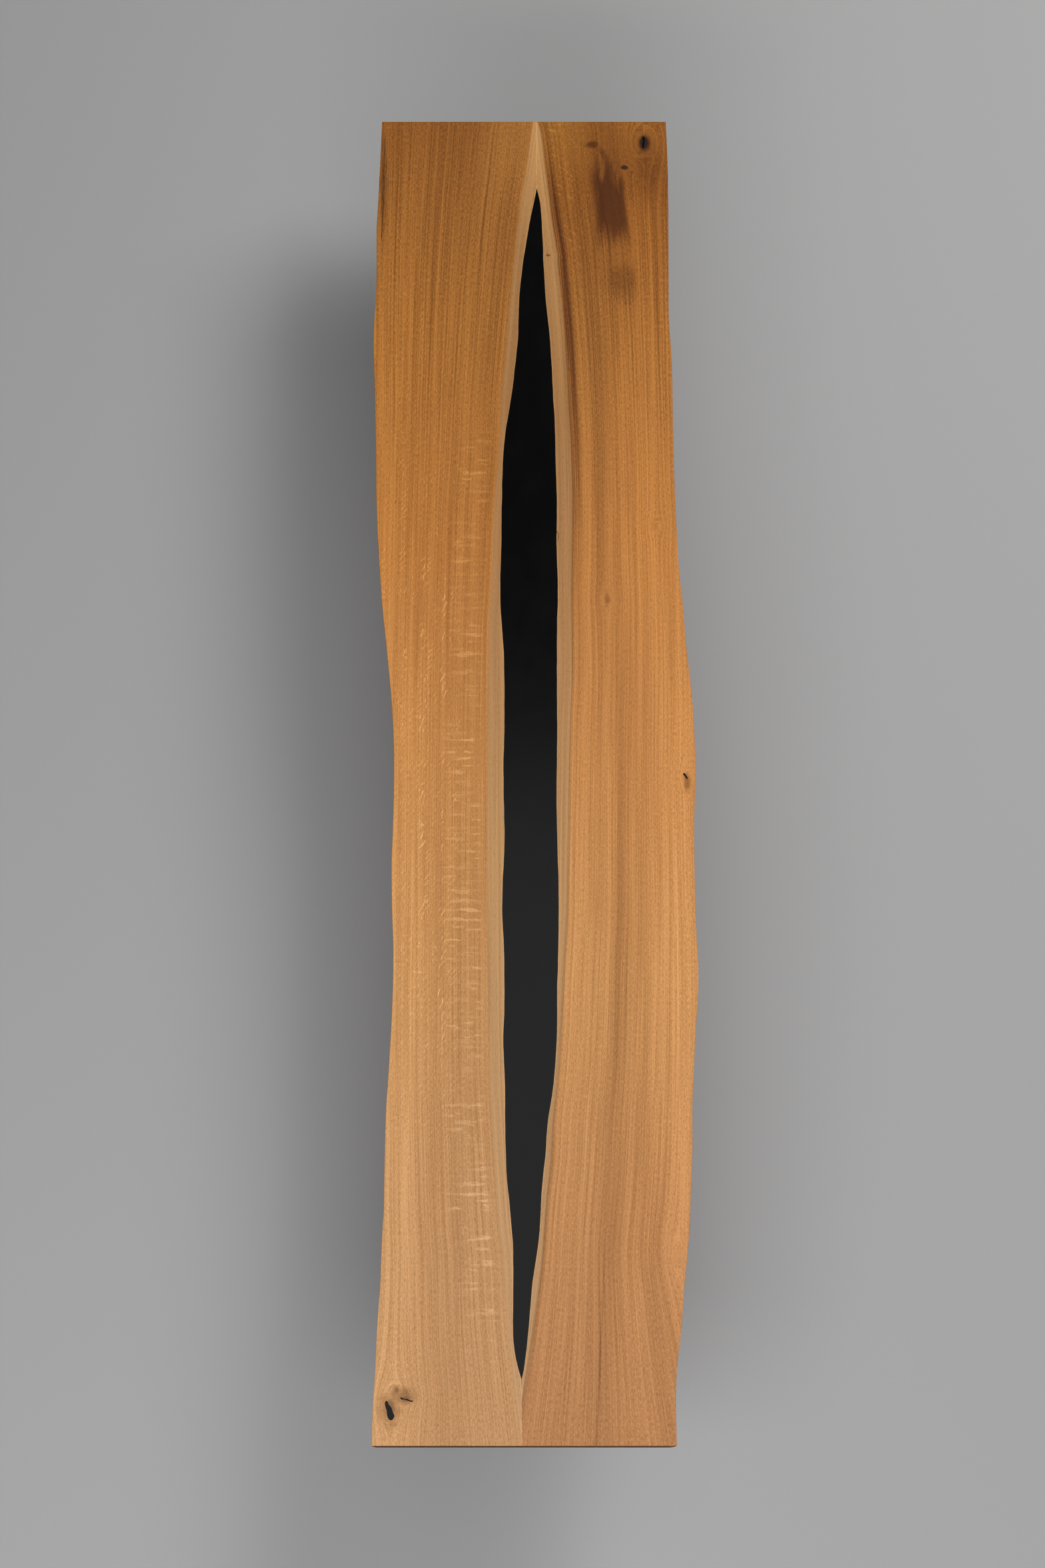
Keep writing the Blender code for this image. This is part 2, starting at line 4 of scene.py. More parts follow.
import math
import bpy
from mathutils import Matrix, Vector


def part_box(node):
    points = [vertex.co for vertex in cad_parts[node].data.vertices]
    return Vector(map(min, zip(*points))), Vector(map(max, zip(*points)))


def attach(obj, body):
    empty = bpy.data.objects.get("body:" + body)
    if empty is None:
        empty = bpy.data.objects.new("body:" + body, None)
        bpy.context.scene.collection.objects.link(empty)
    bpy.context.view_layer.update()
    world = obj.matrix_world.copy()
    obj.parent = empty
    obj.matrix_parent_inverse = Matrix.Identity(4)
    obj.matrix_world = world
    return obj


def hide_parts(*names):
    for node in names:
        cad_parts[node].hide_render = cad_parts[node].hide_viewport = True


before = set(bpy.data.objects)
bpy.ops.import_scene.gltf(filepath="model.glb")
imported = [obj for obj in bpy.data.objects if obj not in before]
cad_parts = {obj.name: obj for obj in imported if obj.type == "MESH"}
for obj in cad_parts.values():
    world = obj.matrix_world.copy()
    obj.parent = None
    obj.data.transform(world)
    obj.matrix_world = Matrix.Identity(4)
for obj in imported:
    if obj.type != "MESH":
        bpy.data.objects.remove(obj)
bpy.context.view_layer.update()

from types import SimpleNamespace

import bmesh
import bpy
import numpy as np
from mathutils import Vector, noise

# ================ The two oak planks
# Each is one half of a split log, flat sawn faces up and down, its natural edge turned in to the river
# and its outer edge smoothed by hand. The wood is oak, sanded fine and finished with a matt hardwax oil.

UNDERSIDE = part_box("left_plank")[0].z
HALF_LENGTH, TOP_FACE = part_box("left_plank")[1].yz
THICKNESS = TOP_FACE - UNDERSIDE
CHAMFER_LEVEL = TOP_FACE - 0.0015  # where the solid's outer edge is widest
SAME = 2e-5  # levels nearer than this are one level


def corners_of(node):
    """The corners of a solid, as rows of x, y and z."""
    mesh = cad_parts[node].data
    corners = np.empty(len(mesh.vertices) * 3)
    mesh.vertices.foreach_get("co", corners)
    return corners.reshape(-1, 3)


def smooth_line(points):
    """x as a smooth function of y through (y, x) points. It never swings wider than its points, and it is
    straight beyond the first and last."""
    y, x = np.array(sorted(points)).T
    step = np.diff(x) / np.diff(y)
    before, after = step[:-1], step[1:]
    same_way = before * after > 0
    safe = np.where(same_way, before + after, 1.0)
    slopes = np.concatenate([step[:1], np.where(same_way, 2 * before * after / safe, 0.0), step[-1:]])

    def at(station):
        if not y[0] < station < y[-1]:
            i = 0 if station <= y[0] else len(y) - 1
            return x[i] + slopes[i] * (station - y[i])
        i = int(np.searchsorted(y, station)) - 1
        span = y[i + 1] - y[i]
        t = (station - y[i]) / span
        rise = (1 + 2 * t) * (1 - t) ** 2 * x[i] + t * t * (3 - 2 * t) * x[i + 1]
        return rise + (t * (1 - t) ** 2 * slopes[i] - t * t * (1 - t) * slopes[i + 1]) * span

    return at


def edge_of(node, level, side, least, most):
    """An edge of a solid at one level: its furthest x towards a side, at each station the solid was drawn by."""
    corners = corners_of(node)
    stations = {round(y, 4) for x, y, z in corners if abs(z - CHAMFER_LEVEL) < SAME}
    furthest = {}
    for x, y, z in corners:
        key = round(y, 4)
        if abs(z - level) < SAME and least < abs(x) < most and key in stations:
            furthest[key] = side * max(side * x, side * furthest.get(key, x))
    return smooth_line(list(furthest.items()))


def waver(station, seed, wave, height):
    """A small natural unevenness along an edge."""
    return height * noise.noise(Vector((station / wave, seed, 0.5)))


PLANK_EDGES = {}
for plank_side, plank_node in ((-1, "left_plank"), (1, "right_plank")):
    PLANK_EDGES[plank_side] = {
        "outer": edge_of(plank_node, CHAMFER_LEVEL, plank_side, 0.3, 0.7),
        "outer_low": edge_of(plank_node, UNDERSIDE, plank_side, 0.43, 0.7),
        "inner": edge_of(plank_node, TOP_FACE, -plank_side, -0.1, 0.2),
        "inner_low": edge_of(plank_node, UNDERSIDE, -plank_side, -0.1, 0.13),
    }

RIVER_FAR_TIP = 2.0097
RIVER_NEAR_TIP = -2.0424
RIVER_HAIRLINE = 0.03  # the resin runs on past the near tip as a hairline
HAIRLINE_WIDTH = 0.0011
GLUE_LINE = 0.0003
NARROWEST = 0.0004  # the planks meet where there is less resin than this
EDGE_WAVER = 0.0009


def river_edges(station, low=False):
    """The line where each plank meets the resin, or the other plank beyond the tips: (left x, right x)."""
    name = "inner_low" if low else "inner"
    left, right = PLANK_EDGES[-1][name](station), PLANK_EDGES[1][name](station)
    middle = (left + right) / 2
    half = (right - left - GLUE_LINE) / 2
    if half < NARROWEST or not RIVER_NEAR_TIP < station < RIVER_FAR_TIP:
        half = 0.0
        past = RIVER_NEAR_TIP - station
        if 0 <= past < RIVER_HAIRLINE and not low:
            half = HAIRLINE_WIDTH / 2 * (1 - past / RIVER_HAIRLINE)
    calm = min(1.0, half / 0.02)
    return (middle - half + calm * waver(station, 3.1, 0.045, EDGE_WAVER),
            middle + half + calm * waver(station, 8.7, 0.050, EDGE_WAVER))


# The line between sapwood and heartwood, and a line off each plank's outer edge that the grain also
# follows, both as (y, x) from the far end.
HEART_LINES = {
    -1: smooth_line([
        (2.25, 0.002), (2.157, -0.0103), (2.058, -0.0242), (1.95, -0.0404), (1.763, -0.0611), (1.6, -0.0776),
        (1.4, -0.094), (1.254, -0.1058), (1.054, -0.1158), (0.874, -0.1289), (0.623, -0.1379),
        (0.42, -0.147), (-0.19, -0.1514), (-0.72, -0.147), (-1.1, -0.141), (-1.26, -0.1322),
        (-1.55, -0.1146), (-1.64, -0.103), (-1.86, -0.0896), (-1.967, -0.0786), (-2.25, -0.043),
    ]),
    1: smooth_line([
        (2.25, 0.022), (2.206, 0.033), (2.117, 0.0445), (2.0, 0.0575), (1.91, 0.0665), (1.812, 0.0794),
        (1.74, 0.0862), (1.6, 0.0975), (1.46, 0.108), (1.245, 0.1195), (1.078, 0.128), (0.86, 0.132),
        (0.59, 0.13), (0.31, 0.1305), (0.125, 0.124), (-0.187, 0.1187), (-0.51, 0.112), (-0.7, 0.101),
        (-0.9, 0.09), (-1.08, 0.076), (-1.21, 0.062), (-1.33, 0.0555), (-1.465, 0.0416),
        (-1.685, 0.0243), (-1.816, 0.0071), (-1.924, -0.0079), (-2.25, -0.06),
    ]),
}
GRAIN_OUTER_LINES = {
    -1: smooth_line([(2.25, -0.56), (1.0, -0.555), (-0.5, -0.56), (-1.6, -0.565), (-2.25, -0.6)]),
    1: smooth_line([
        (2.25, 0.545), (1.2, 0.55), (0.0, 0.565), (-1.0, 0.57), (-1.45, 0.56), (-1.62, 0.548),
        (-1.8, 0.585), (-2.25, 0.71),
    ]),
}
HEART_WIDTH = 0.42


def grain_across(side, x, station):
    """How far across the grain a point is: nought where sapwood turns to heartwood, negative in the sapwood."""
    line = HEART_LINES[side](station)
    past = side * (x - line)
    if past <= 0:
        return past
    return past / (side * (GRAIN_OUTER_LINES[side](station) - line)) * HEART_WIDTH


STATION_STEP = 0.010
ACROSS_STEPS = 42
OUTER_STEPS = 10
INNER_STEPS = 4
ARRIS = 0.0016
LOWER_ARRIS = 0.003
HAND_RIPPLE = 0.0012  # how far the smoothed outer edge waves


def plank_ring(side, station, inset):
    """The points of one cross-section, from the inner top corner out, down, in and up again. inset draws
    the section in at the ends, where the arris is rounded."""
    edges = PLANK_EDGES[side]
    inner = river_edges(station)[0 if side < 0 else 1]
    inner_low = river_edges(station, low=True)[0 if side < 0 else 1]
    outer = edges["outer"](station) - side * (inset + abs(waver(station, 5.0 + side, 0.09, 0.0006)))
    lean = side * (edges["outer"](station) - edges["outer_low"](station))
    ring = [(inner + (outer - side * ARRIS - inner) * i / ACROSS_STEPS, TOP_FACE - inset)
            for i in range(ACROSS_STEPS + 1)]
    ring += [(outer - side * ARRIS * (1 - math.sin(a)), TOP_FACE - inset - ARRIS * (1 - math.cos(a)))
             for a in (math.pi / 6, math.pi / 3, math.pi / 2)]
    for i in range(1, OUTER_STEPS + 1):
        down = i / (OUTER_STEPS + 1)
        ripple = abs(noise.noise(Vector((station / 0.06, down * 2.5, 20 + side)))) * HAND_RIPPLE
        ring.append((outer - side * (lean * down ** 1.8 + ripple * math.sin(math.pi * down)),
                     TOP_FACE - ARRIS - (THICKNESS - 2 * ARRIS) * down))
    low_corner = outer - side * lean
    low_outer, low_face = low_corner - side * LOWER_ARRIS, UNDERSIDE + inset
    ring += [(low_corner - side * LOWER_ARRIS * 0.3, low_face + LOWER_ARRIS * 0.3), (low_outer, low_face)]
    ring += [(low_outer + (inner_low - low_outer) * i / ACROSS_STEPS, low_face) for i in range(1, ACROSS_STEPS + 1)]
    up, height = (inner - inner_low) / INNER_STEPS, (THICKNESS - 2 * inset) / INNER_STEPS
    return ring + [(inner_low + up * i, low_face + height * i) for i in range(1, INNER_STEPS)]


def plank_stations():
    """Each cross-section's y and inset: every 10 mm, closer at the river's tips, and rounded at the ends."""
    even = np.arange(-HALF_LENGTH + STATION_STEP, HALF_LENGTH - STATION_STEP / 2, STATION_STEP)
    tips = np.concatenate([RIVER_FAR_TIP - np.linspace(0, 0.012, 5), RIVER_NEAR_TIP + np.linspace(0, 0.012, 5),
                           RIVER_NEAR_TIP - np.linspace(0.01, RIVER_HAIRLINE, 3)])
    kept = [y for y in even if np.abs(tips - y).min() > 0.004]
    rows = [(y, 0.0) for y in sorted([*kept, *tips])]
    rounding = [(ARRIS * (1 - math.cos(a)), ARRIS * (1 - math.sin(a))) for a in np.radians((0, 30, 60, 90))]
    near = [(-HALF_LENGTH + back, inset) for back, inset in rounding]
    far = [(HALF_LENGTH - back, inset) for back, inset in reversed(rounding)]
    return near + rows + far


def put_in_scene(name, data):
    piece = bpy.data.objects.new(name, data)
    bpy.context.scene.collection.objects.link(piece)
    return piece


def new_piece(name, points, faces, in_scene=True):
    """A mesh of points and faces, the faces turned outwards."""
    mesh = bpy.data.meshes.new(name)
    mesh.from_pydata(points, [], faces)
    bm = bmesh.new()
    bm.from_mesh(mesh)
    bmesh.ops.recalc_face_normals(bm, faces=bm.faces[:])
    bm.to_mesh(mesh)
    bm.free()
    return put_in_scene(name, mesh) if in_scene else bpy.data.objects.new(name, mesh)


def add_map(piece, name, values):
    """Writes a pair of values for each corner point as a UV map."""
    mesh = piece.data
    corners = np.empty(len(mesh.loops), dtype=int)
    mesh.loops.foreach_get("vertex_index", corners)
    layer = mesh.uv_layers.new(name=name)
    layer.data.foreach_set("uv", np.array(values, dtype=float)[corners].ravel())


def loft_faces(rings, size):
    """Faces between rings of points that each run once round."""
    faces = []
    for row in range(rings - 1):
        for i in range(size):
            j = (i + 1) % size
            faces.append((row * size + i, row * size + j, (row + 1) * size + j, (row + 1) * size + i))
    return faces


def closed_tube(name, points, size, in_scene=True):
    """A piece through rings of points, closed flat at both ends."""
    last = len(points) - size
    ends = [tuple(range(size)), tuple(range(last, last + size))]
    return new_piece(name, points, loft_faces(len(points) // size, size) + ends, in_scene)


def plank_cap(start):
    """Closes an end with strips from the top face's points to the underside's, so the grain carries on."""
    first_low = ACROSS_STEPS + 1 + 3 + OUTER_STEPS + 1
    last_low = first_low + ACROSS_STEPS
    faces = [tuple(start + k for k in (i, i + 1, last_low - i - 1, last_low - i)) for i in range(1, ACROSS_STEPS)]
    faces.append(tuple(start + k for k in [0, 1, last_low - 1, *range(last_low, last_low + INNER_STEPS)]))
    faces.append(tuple(start + k for k in range(ACROSS_STEPS, first_low + 1)))
    return faces


def build_plank(side, name):
    stations = plank_stations()
    points, grain, edges = [], [], []
    for y, inset in stations:
        ring = plank_ring(side, y, inset)
        inner, outer = ring[0][0], ring[ACROSS_STEPS + 3][0]
        for x, z in ring:
            points.append((x, y, z))
            grain.append((grain_across(side, x, y), y))
            edges.append((side * (x - inner), side * (outer - x)))
    size = len(points) // len(stations)
    faces = loft_faces(len(stations), size) + plank_cap(0) + plank_cap((len(stations) - 1) * size)
    plank = new_piece(name, points, faces)
    add_map(plank, "grain", grain)
    add_map(plank, "edges", edges)
    return plank


left_plank = build_plank(-1, "left_oak_plank")
right_plank = build_plank(1, "right_oak_plank")

# ---- what is cut into the planks: pockets for resin, drying cracks, grooves and holes underneath

CLEAR = 0.01  # how far a cutter stands proud of the wood


def copy_of(node, name):
    """A closed copy of a solid, its upper face raised clear of the wood."""
    bm = bmesh.new()
    bm.from_mesh(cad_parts[node].data)
    bmesh.ops.remove_doubles(bm, verts=bm.verts[:], dist=1e-6)
    top = max(vert.co.z for vert in bm.verts)
    for vert in bm.verts:
        if vert.co.z > top - 1e-5:
            vert.co.z += CLEAR
    mesh = bpy.data.meshes.new(name)
    bm.to_mesh(mesh)
    bm.free()
    return bpy.data.objects.new(name, mesh)


def prism_between(name, outline, low, high, plane="xy", in_scene=False):
    """A closed upright prism on an outline of (x, y), or of (y, z) with its depth along x."""
    points = [(u, v, low) for u, v in outline] + [(u, v, high) for u, v in outline]
    if plane == "yz":
        points = [(depth, u, v) for u, v, depth in points]
    size = len(outline)
    faces = [(i, (i + 1) % size, size + (i + 1) % size, size + i) for i in range(size)]
    return new_piece(name, points, faces + [tuple(range(size)), tuple(range(size, 2 * size))], in_scene)


def crack_outline(near, far, width, seed):
    """The outline of a drying crack: a slender leaf along the grain, a little crooked."""
    steps = [i / CRACK_STEPS for i in range(CRACK_STEPS + 1)]
    way = [(near[0] + (far[0] - near[0]) * t + waver(t, seed, 0.3, 0.0014), near[1] + (far[1] - near[1]) * t)
           for t in steps]
    half = [width / 2 * math.sin(math.pi * t) ** 0.7 * (1 + waver(t, seed + 9, 0.15, 0.6)) for t in steps]
    right_side = [(px + h, py) for (px, py), h in zip(way, half)]
    left_side = [(px - h, py) for (px, py), h in zip(way, half)]
    return right_side + left_side[-2:0:-1]


CRACK_DEPTH = 0.009
CRACK_STEPS = 12
DRYING_CRACKS = [  # near end, far end, width
    ((-0.5060, 2.125), (-0.5048, 2.200), 0.0038),
    ((-0.5078, 2.062), (-0.5050, 2.135), 0.0042),
    ((-0.5122, 1.962), (-0.5085, 2.062), 0.0050),
    ((-0.5078, 1.995), (-0.5036, 2.056), 0.0034),
    ((-0.5118, 1.868), (-0.5064, 1.980), 0.0046),
    ((-0.5138, 1.815), (-0.5112, 1.866), 0.0024),
]
VEIN_LINE = [(0.0766, 0.7866), (0.0795, 0.7866), (0.0822, 0.7843), (0.0836, 0.7802), (0.0842, 0.7740),
             (0.0839, 0.7660), (0.0832, 0.7590), (0.0818, 0.7499)]
VEIN_WIDTH, VEIN_DEPTH = 0.0024, 0.012


def vein_outline():
    way = [Vector(spot) for spot in VEIN_LINE]
    left_side, right_side = [], []
    for i, spot in enumerate(way):
        run = (way[min(i + 1, len(way) - 1)] - way[max(i - 1, 0)]).normalized()
        half = VEIN_WIDTH / 2 * (1 - 0.55 * i / (len(way) - 1))
        left_side.append(spot + half * Vector((-run.y, run.x)))
        right_side.append(spot - half * Vector((-run.y, run.x)))
    return [tuple(spot) for spot in left_side + right_side[::-1]]


CHANNEL_WALL = 0.003
GROOVE_CLEARANCE = 0.0003


def groove(node):
    """What a channel's groove takes out of the wood."""
    low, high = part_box(node)
    near, far = low.y - GROOVE_CLEARANCE, high.y + GROOVE_CLEARANCE
    thick = CHANNEL_WALL + 2 * GROOVE_CLEARANCE
    floor, web, top = UNDERSIDE - 0.002, low.z + CHANNEL_WALL + GROOVE_CLEARANCE, high.z + GROOVE_CLEARANCE
    outline = [(near, floor), (far, floor), (far, top), (far - thick, top), (far - thick, web),
               (near + thick, web), (near + thick, top), (near, top)]
    return prism_between(node + "_groove", outline, low.x - GROOVE_CLEARANCE, high.x + GROOVE_CLEARANCE, "yz")


def arc(x, y, radius, start, turn, steps):
    """Points round an arc, as (x, y)."""
    return [(x + radius * math.cos(start + turn * i / steps), y + radius * math.sin(start + turn * i / steps))
            for i in range(steps + 1)]


HOLE_SIDES = 24
SCREW_HOLE_RADIUS = 0.0028
INSERT_FIT = 0.0002
PAST_THE_TIP = 0.0004  # how much deeper a hole is than what goes in it


def cut_away(piece, cutters):
    """Takes the cutters, which don't touch each other, out of a piece, and leaves a plain mesh."""
    joined = bmesh.new()
    for cutter in cutters:
        joined.from_mesh(cutter.data)
    tool = bpy.data.objects.new(piece.name + "_tool", bpy.data.meshes.new(piece.name + "_tool"))
    joined.to_mesh(tool.data)
    joined.free()
    modifier = piece.modifiers.new("cut", "BOOLEAN")
    modifier.object = tool
    modifier.operation = "DIFFERENCE"
    modifier.solver = "EXACT"
    graph = bpy.context.evaluated_depsgraph_get()
    piece.data = bpy.data.meshes.new_from_object(piece.evaluated_get(graph))
    piece.modifiers.clear()
    for spent in [tool, *cutters]:
        bpy.data.objects.remove(spent)


def nodes_named(*starts):
    return sorted(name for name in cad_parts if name.startswith(starts))


def middle_of(node):
    """The middle of a solid's box, seen from above."""
    low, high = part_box(node)
    return (low.x + high.x) / 2, (low.y + high.y) / 2


STIFFENERS = "stiffener_near", "stiffener_middle", "stiffener_far"


def grooves():
    return [groove(node) for node in nodes_named(*STIFFENERS)]


def fixing_holes(side):
    """A hole for each screw and insert in a plank, the inserts' bored to their own size."""
    holes = []
    for node in nodes_named("threaded_insert", "stiffener_screw"):
        low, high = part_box(node)
        x, y = middle_of(node)
        if side * x > 0:
            radius = (high.x - low.x) / 2 + INSERT_FIT if "insert" in node else SCREW_HOLE_RADIUS
            rim = arc(x, y, radius, 0.0, 2 * math.pi, HOLE_SIDES)[:-1]
            holes.append(prism_between(node + "_hole", rim, UNDERSIDE - CLEAR, high.z + PAST_THE_TIP))
    return holes


left_pockets = [copy_of("knot_fill_large", "large_knot"), copy_of("knot_fill_small", "small_knot")]
cracks = []
for number, (crack_near, crack_far, width) in enumerate(DRYING_CRACKS):
    outline = crack_outline(crack_near, crack_far, width, 30.0 + number)
    cracks.append(prism_between(f"crack_{number}", outline, TOP_FACE - CRACK_DEPTH, TOP_FACE + CLEAR))
right_pockets = [copy_of("knot_fill_far", "far_knot"), copy_of("knot_fill_edge", "edge_knot"),
                 prism_between("vein", vein_outline(), TOP_FACE - VEIN_DEPTH, TOP_FACE + CLEAR)]
cut_away(left_plank, left_pockets + grooves())
cut_away(left_plank, cracks[0::2])
cut_away(left_plank, cracks[1::2])
cut_away(right_plank, right_pockets + grooves())
cut_away(left_plank, fixing_holes(-1))
cut_away(right_plank, fixing_holes(1))

# ---- the oak's colour and grain


class Shade:
    """A socket in a finish's node tree. Sums written with it add Math nodes."""

    def __init__(self, tree, socket=None):
        self.tree, self.socket = tree, socket

    def node(self, kind, settings=(), sockets=(), out=0):
        """Adds a node: its settings first, then the value or link of each of its sockets."""
        made = self.tree.nodes.new(kind)
        for name, value in dict(settings).items():
            if name == "stops":
                stops = made.color_ramp.elements
                while len(stops) < len(value):
                    stops.new(0.5)
                for stop, (spot, colour) in zip(stops, value):
                    stop.position, stop.color = spot, colour
            else:
                setattr(made, name, value)
        for name, value in dict(sockets).items():
            if isinstance(value, Shade):
                self.tree.links.new(value.socket, made.inputs[name])
            else:
                made.inputs[name].default_value = value
        return Shade(self.tree, made.outputs[out])

    def maths(self, operation, *values):
        return self.node("ShaderNodeMath", {"operation": operation}, dict(enumerate(values)))

    def __add__(self, other):
        return self.maths("ADD", self, other)

    def __sub__(self, other):
        return self.maths("SUBTRACT", self, other)

    def __rsub__(self, other):
        return self.maths("SUBTRACT", other, self)

    def __mul__(self, other):
        return self.maths("MULTIPLY", self, other)

    def __truediv__(self, other):
        return self.maths("DIVIDE", self, other)

    def __rtruediv__(self, other):
        return self.maths("DIVIDE", other, self)

    def __or__(self, other):
        """The greater of the two."""
        return self.maths("MAXIMUM", self, other)

    __radd__, __rmul__ = __add__, __mul__

    def rise(self, low, high):
        """0 below low, 1 above high, and smooth between. It falls where low is the greater."""
        return self.node("ShaderNodeMapRange", {"interpolation_type": "SMOOTHSTEP"},
                         {"Value": self, "From Min": low, "From Max": high})

    def mix(self, first, second):
        """The first colour where this is 0, the second where it is 1."""
        return self.node("ShaderNodeMix", {"data_type": "RGBA"}, {0: self, 6: first, 7: second}, 2)

    def product(self, colour, tone, amount=1.0):
        """The colour times a tone, by an amount."""
        return self.node("ShaderNodeMix", {"data_type": "RGBA", "blend_type": "MULTIPLY"},
                         {0: amount, 6: colour, 7: tone}, 2)

    def times(self, colour, tone):
        """The colour, times a tone where this is 1."""
        return self.product(colour, tone, self)

    def ramp(self, stops):
        """A colour between (value, colour) stops."""
        first, last = stops[0][0], stops[-1][0]
        spots = [((value - first) / (last - first), colour) for value, colour in stops]
        return self.node("ShaderNodeValToRGB", {"stops": spots}, {0: (self - first) / (last - first)})

    def vector(self, x, y, z):
        return self.node("ShaderNodeCombineXYZ", (), {0: x, 1: y, 2: z})

    def noise(self, x, y, z, detail=2.0, rough=0.5):
        """Noise about nought, mostly within half a unit of it, over coordinates already stretched to size."""
        place = self.vector(x, y, z)
        return self.node("ShaderNodeTexNoise", (), {
            "Vector": place, "Scale": 1.0, "Detail": detail, "Roughness": rough}) * 2.0 - 1.0

    def chance(self, least, most, seed):
        """A random number for each thing in a Geometry Nodes tree."""
        return self.node("FunctionNodeRandomValue", {"data_type": "FLOAT"}, {2: least, 3: most, "Seed": seed}, 1)

    def axes(self, vector):
        """The x, y and z of a vector."""
        split = self.node("ShaderNodeSeparateXYZ", (), {0: vector}).socket.node
        return [Shade(self.tree, out) for out in split.outputs]

    def place(self):
        """Where a point of the piece is."""
        return self.node("ShaderNodeTexCoord", (), (), 3)

    def reach(self, x, y, middle, radii):
        """How far a point is from a middle, in units of the radii."""
        across, along = (x - middle[0]) / radii[0], (y - middle[1]) / radii[1]
        return self.maths("SQRT", across * across + along * along)


def tint(red, green, blue):
    """A colour from its usual 0 to 255 values, as light."""
    linear = [(c / 255 / 12.92) if c <= 10 else ((c / 255 + 0.055) / 1.055) ** 2.4 for c in (red, green, blue)]
    return (*linear, 1.0)


class Finish(Shade):
    """A material. The numbers that don't vary over it are set on its shader."""

    def __init__(self, name, roughness, **constants):
        self.material = bpy.data.materials.new(name)
        self.material.use_nodes = True
        super().__init__(self.material.node_tree)
        self.shader = self.tree.nodes["Principled BSDF"]
        for socket, value in {"Roughness": roughness, **constants}.items():
            self.shader.inputs[socket.replace("_", " ")].default_value = value

    def wire(self, socket, value):
        self.tree.links.new(value.socket, self.shader.inputs[socket])

    def bump(self, strength, depth, height):
        self.wire("Normal", self.node("ShaderNodeBump", (), {
            "Strength": strength, "Distance": depth, "Height": height}))

    def mottle(self, scale, detail, rough=0.5):
        """Noise from 0 to 1, the same in every direction."""
        return self.node("ShaderNodeTexNoise", (), {
            "Vector": self.place(), "Scale": scale, "Detail": detail, "Roughness": rough})

    def cover(self, piece):
        piece.data.materials.clear()
        piece.data.materials.append(self.material)

    def cover_nodes(self, *starts):
        """Gives the solids whose names start so this finish."""
        for node in nodes_named(*starts):
            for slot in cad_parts[node].material_slots:
                slot.material = self.material


# Knots: middle, radius, how far the grain bends round it, length over width, and how dark it is.
LEFT_KNOTS = [((-0.455, -2.128), 0.016, 0.026, 2.1, 0.35), ((-0.405, -2.101), 0.015, 0.022, 0.8, 0.35),
              ((-0.436, -2.074), 0.007, 0.014, 1.5, 0.35)]
RIGHT_KNOTS = [((0.378, 2.174), 0.019, 0.040, 1.5, 1.0), ((0.3115, 2.083), 0.016, 0.022, 0.62, 1.0),
               ((0.0512, 1.766), 0.009, 0.010, 0.5, 0.8), ((0.501, -0.056), 0.008, 0.015, 1.6, 0.35),
               ((0.2445, 0.550), 0.010, 0.016, 1.3, 0.1), ((0.412, 0.806), 0.010, 0.016, 1.3, 0.12),
               ((0.462, -1.640), 0.010, 0.014, 4.0, 0.0)]
# The tone of each plank's heartwood, and of both planks' sapwood, from the near end to the far end.
# The heartwood tones are partly the wood's own and partly painted light: lighter towards the near end, darker and
# deeper towards the far end.
LEFT_HEARTWOOD_AND_LIGHT = [(-2.25, tint(196, 148, 102)), (-1.5, tint(196, 146, 98)), (-0.75, tint(198, 144, 90)),
                  (0.0, tint(196, 136, 77)), (0.75, tint(184, 120, 58)), (1.5, tint(172, 111, 48)),
                  (2.25, tint(146, 90, 36))]
RIGHT_HEARTWOOD_AND_LIGHT = [(-2.25, tint(184, 130, 85)), (-1.5, tint(195, 138, 87)), (-0.75, tint(208, 150, 92)),
                   (0.0, tint(203, 140, 80)), (0.75, tint(190, 126, 64)), (1.5, tint(170, 109, 47)),
                   (2.0, tint(146, 87, 28)), (2.25, tint(146, 90, 31))]
SAPWOOD = [(-2.25, tint(194, 150, 106)), (-1.2, tint(190, 147, 101)), (-0.3, tint(188, 143, 94)),
           (0.5, tint(176, 129, 82)), (1.2, tint(164, 118, 70)), (1.8, tint(172, 126, 76)),
           (2.25, tint(196, 146, 90))]


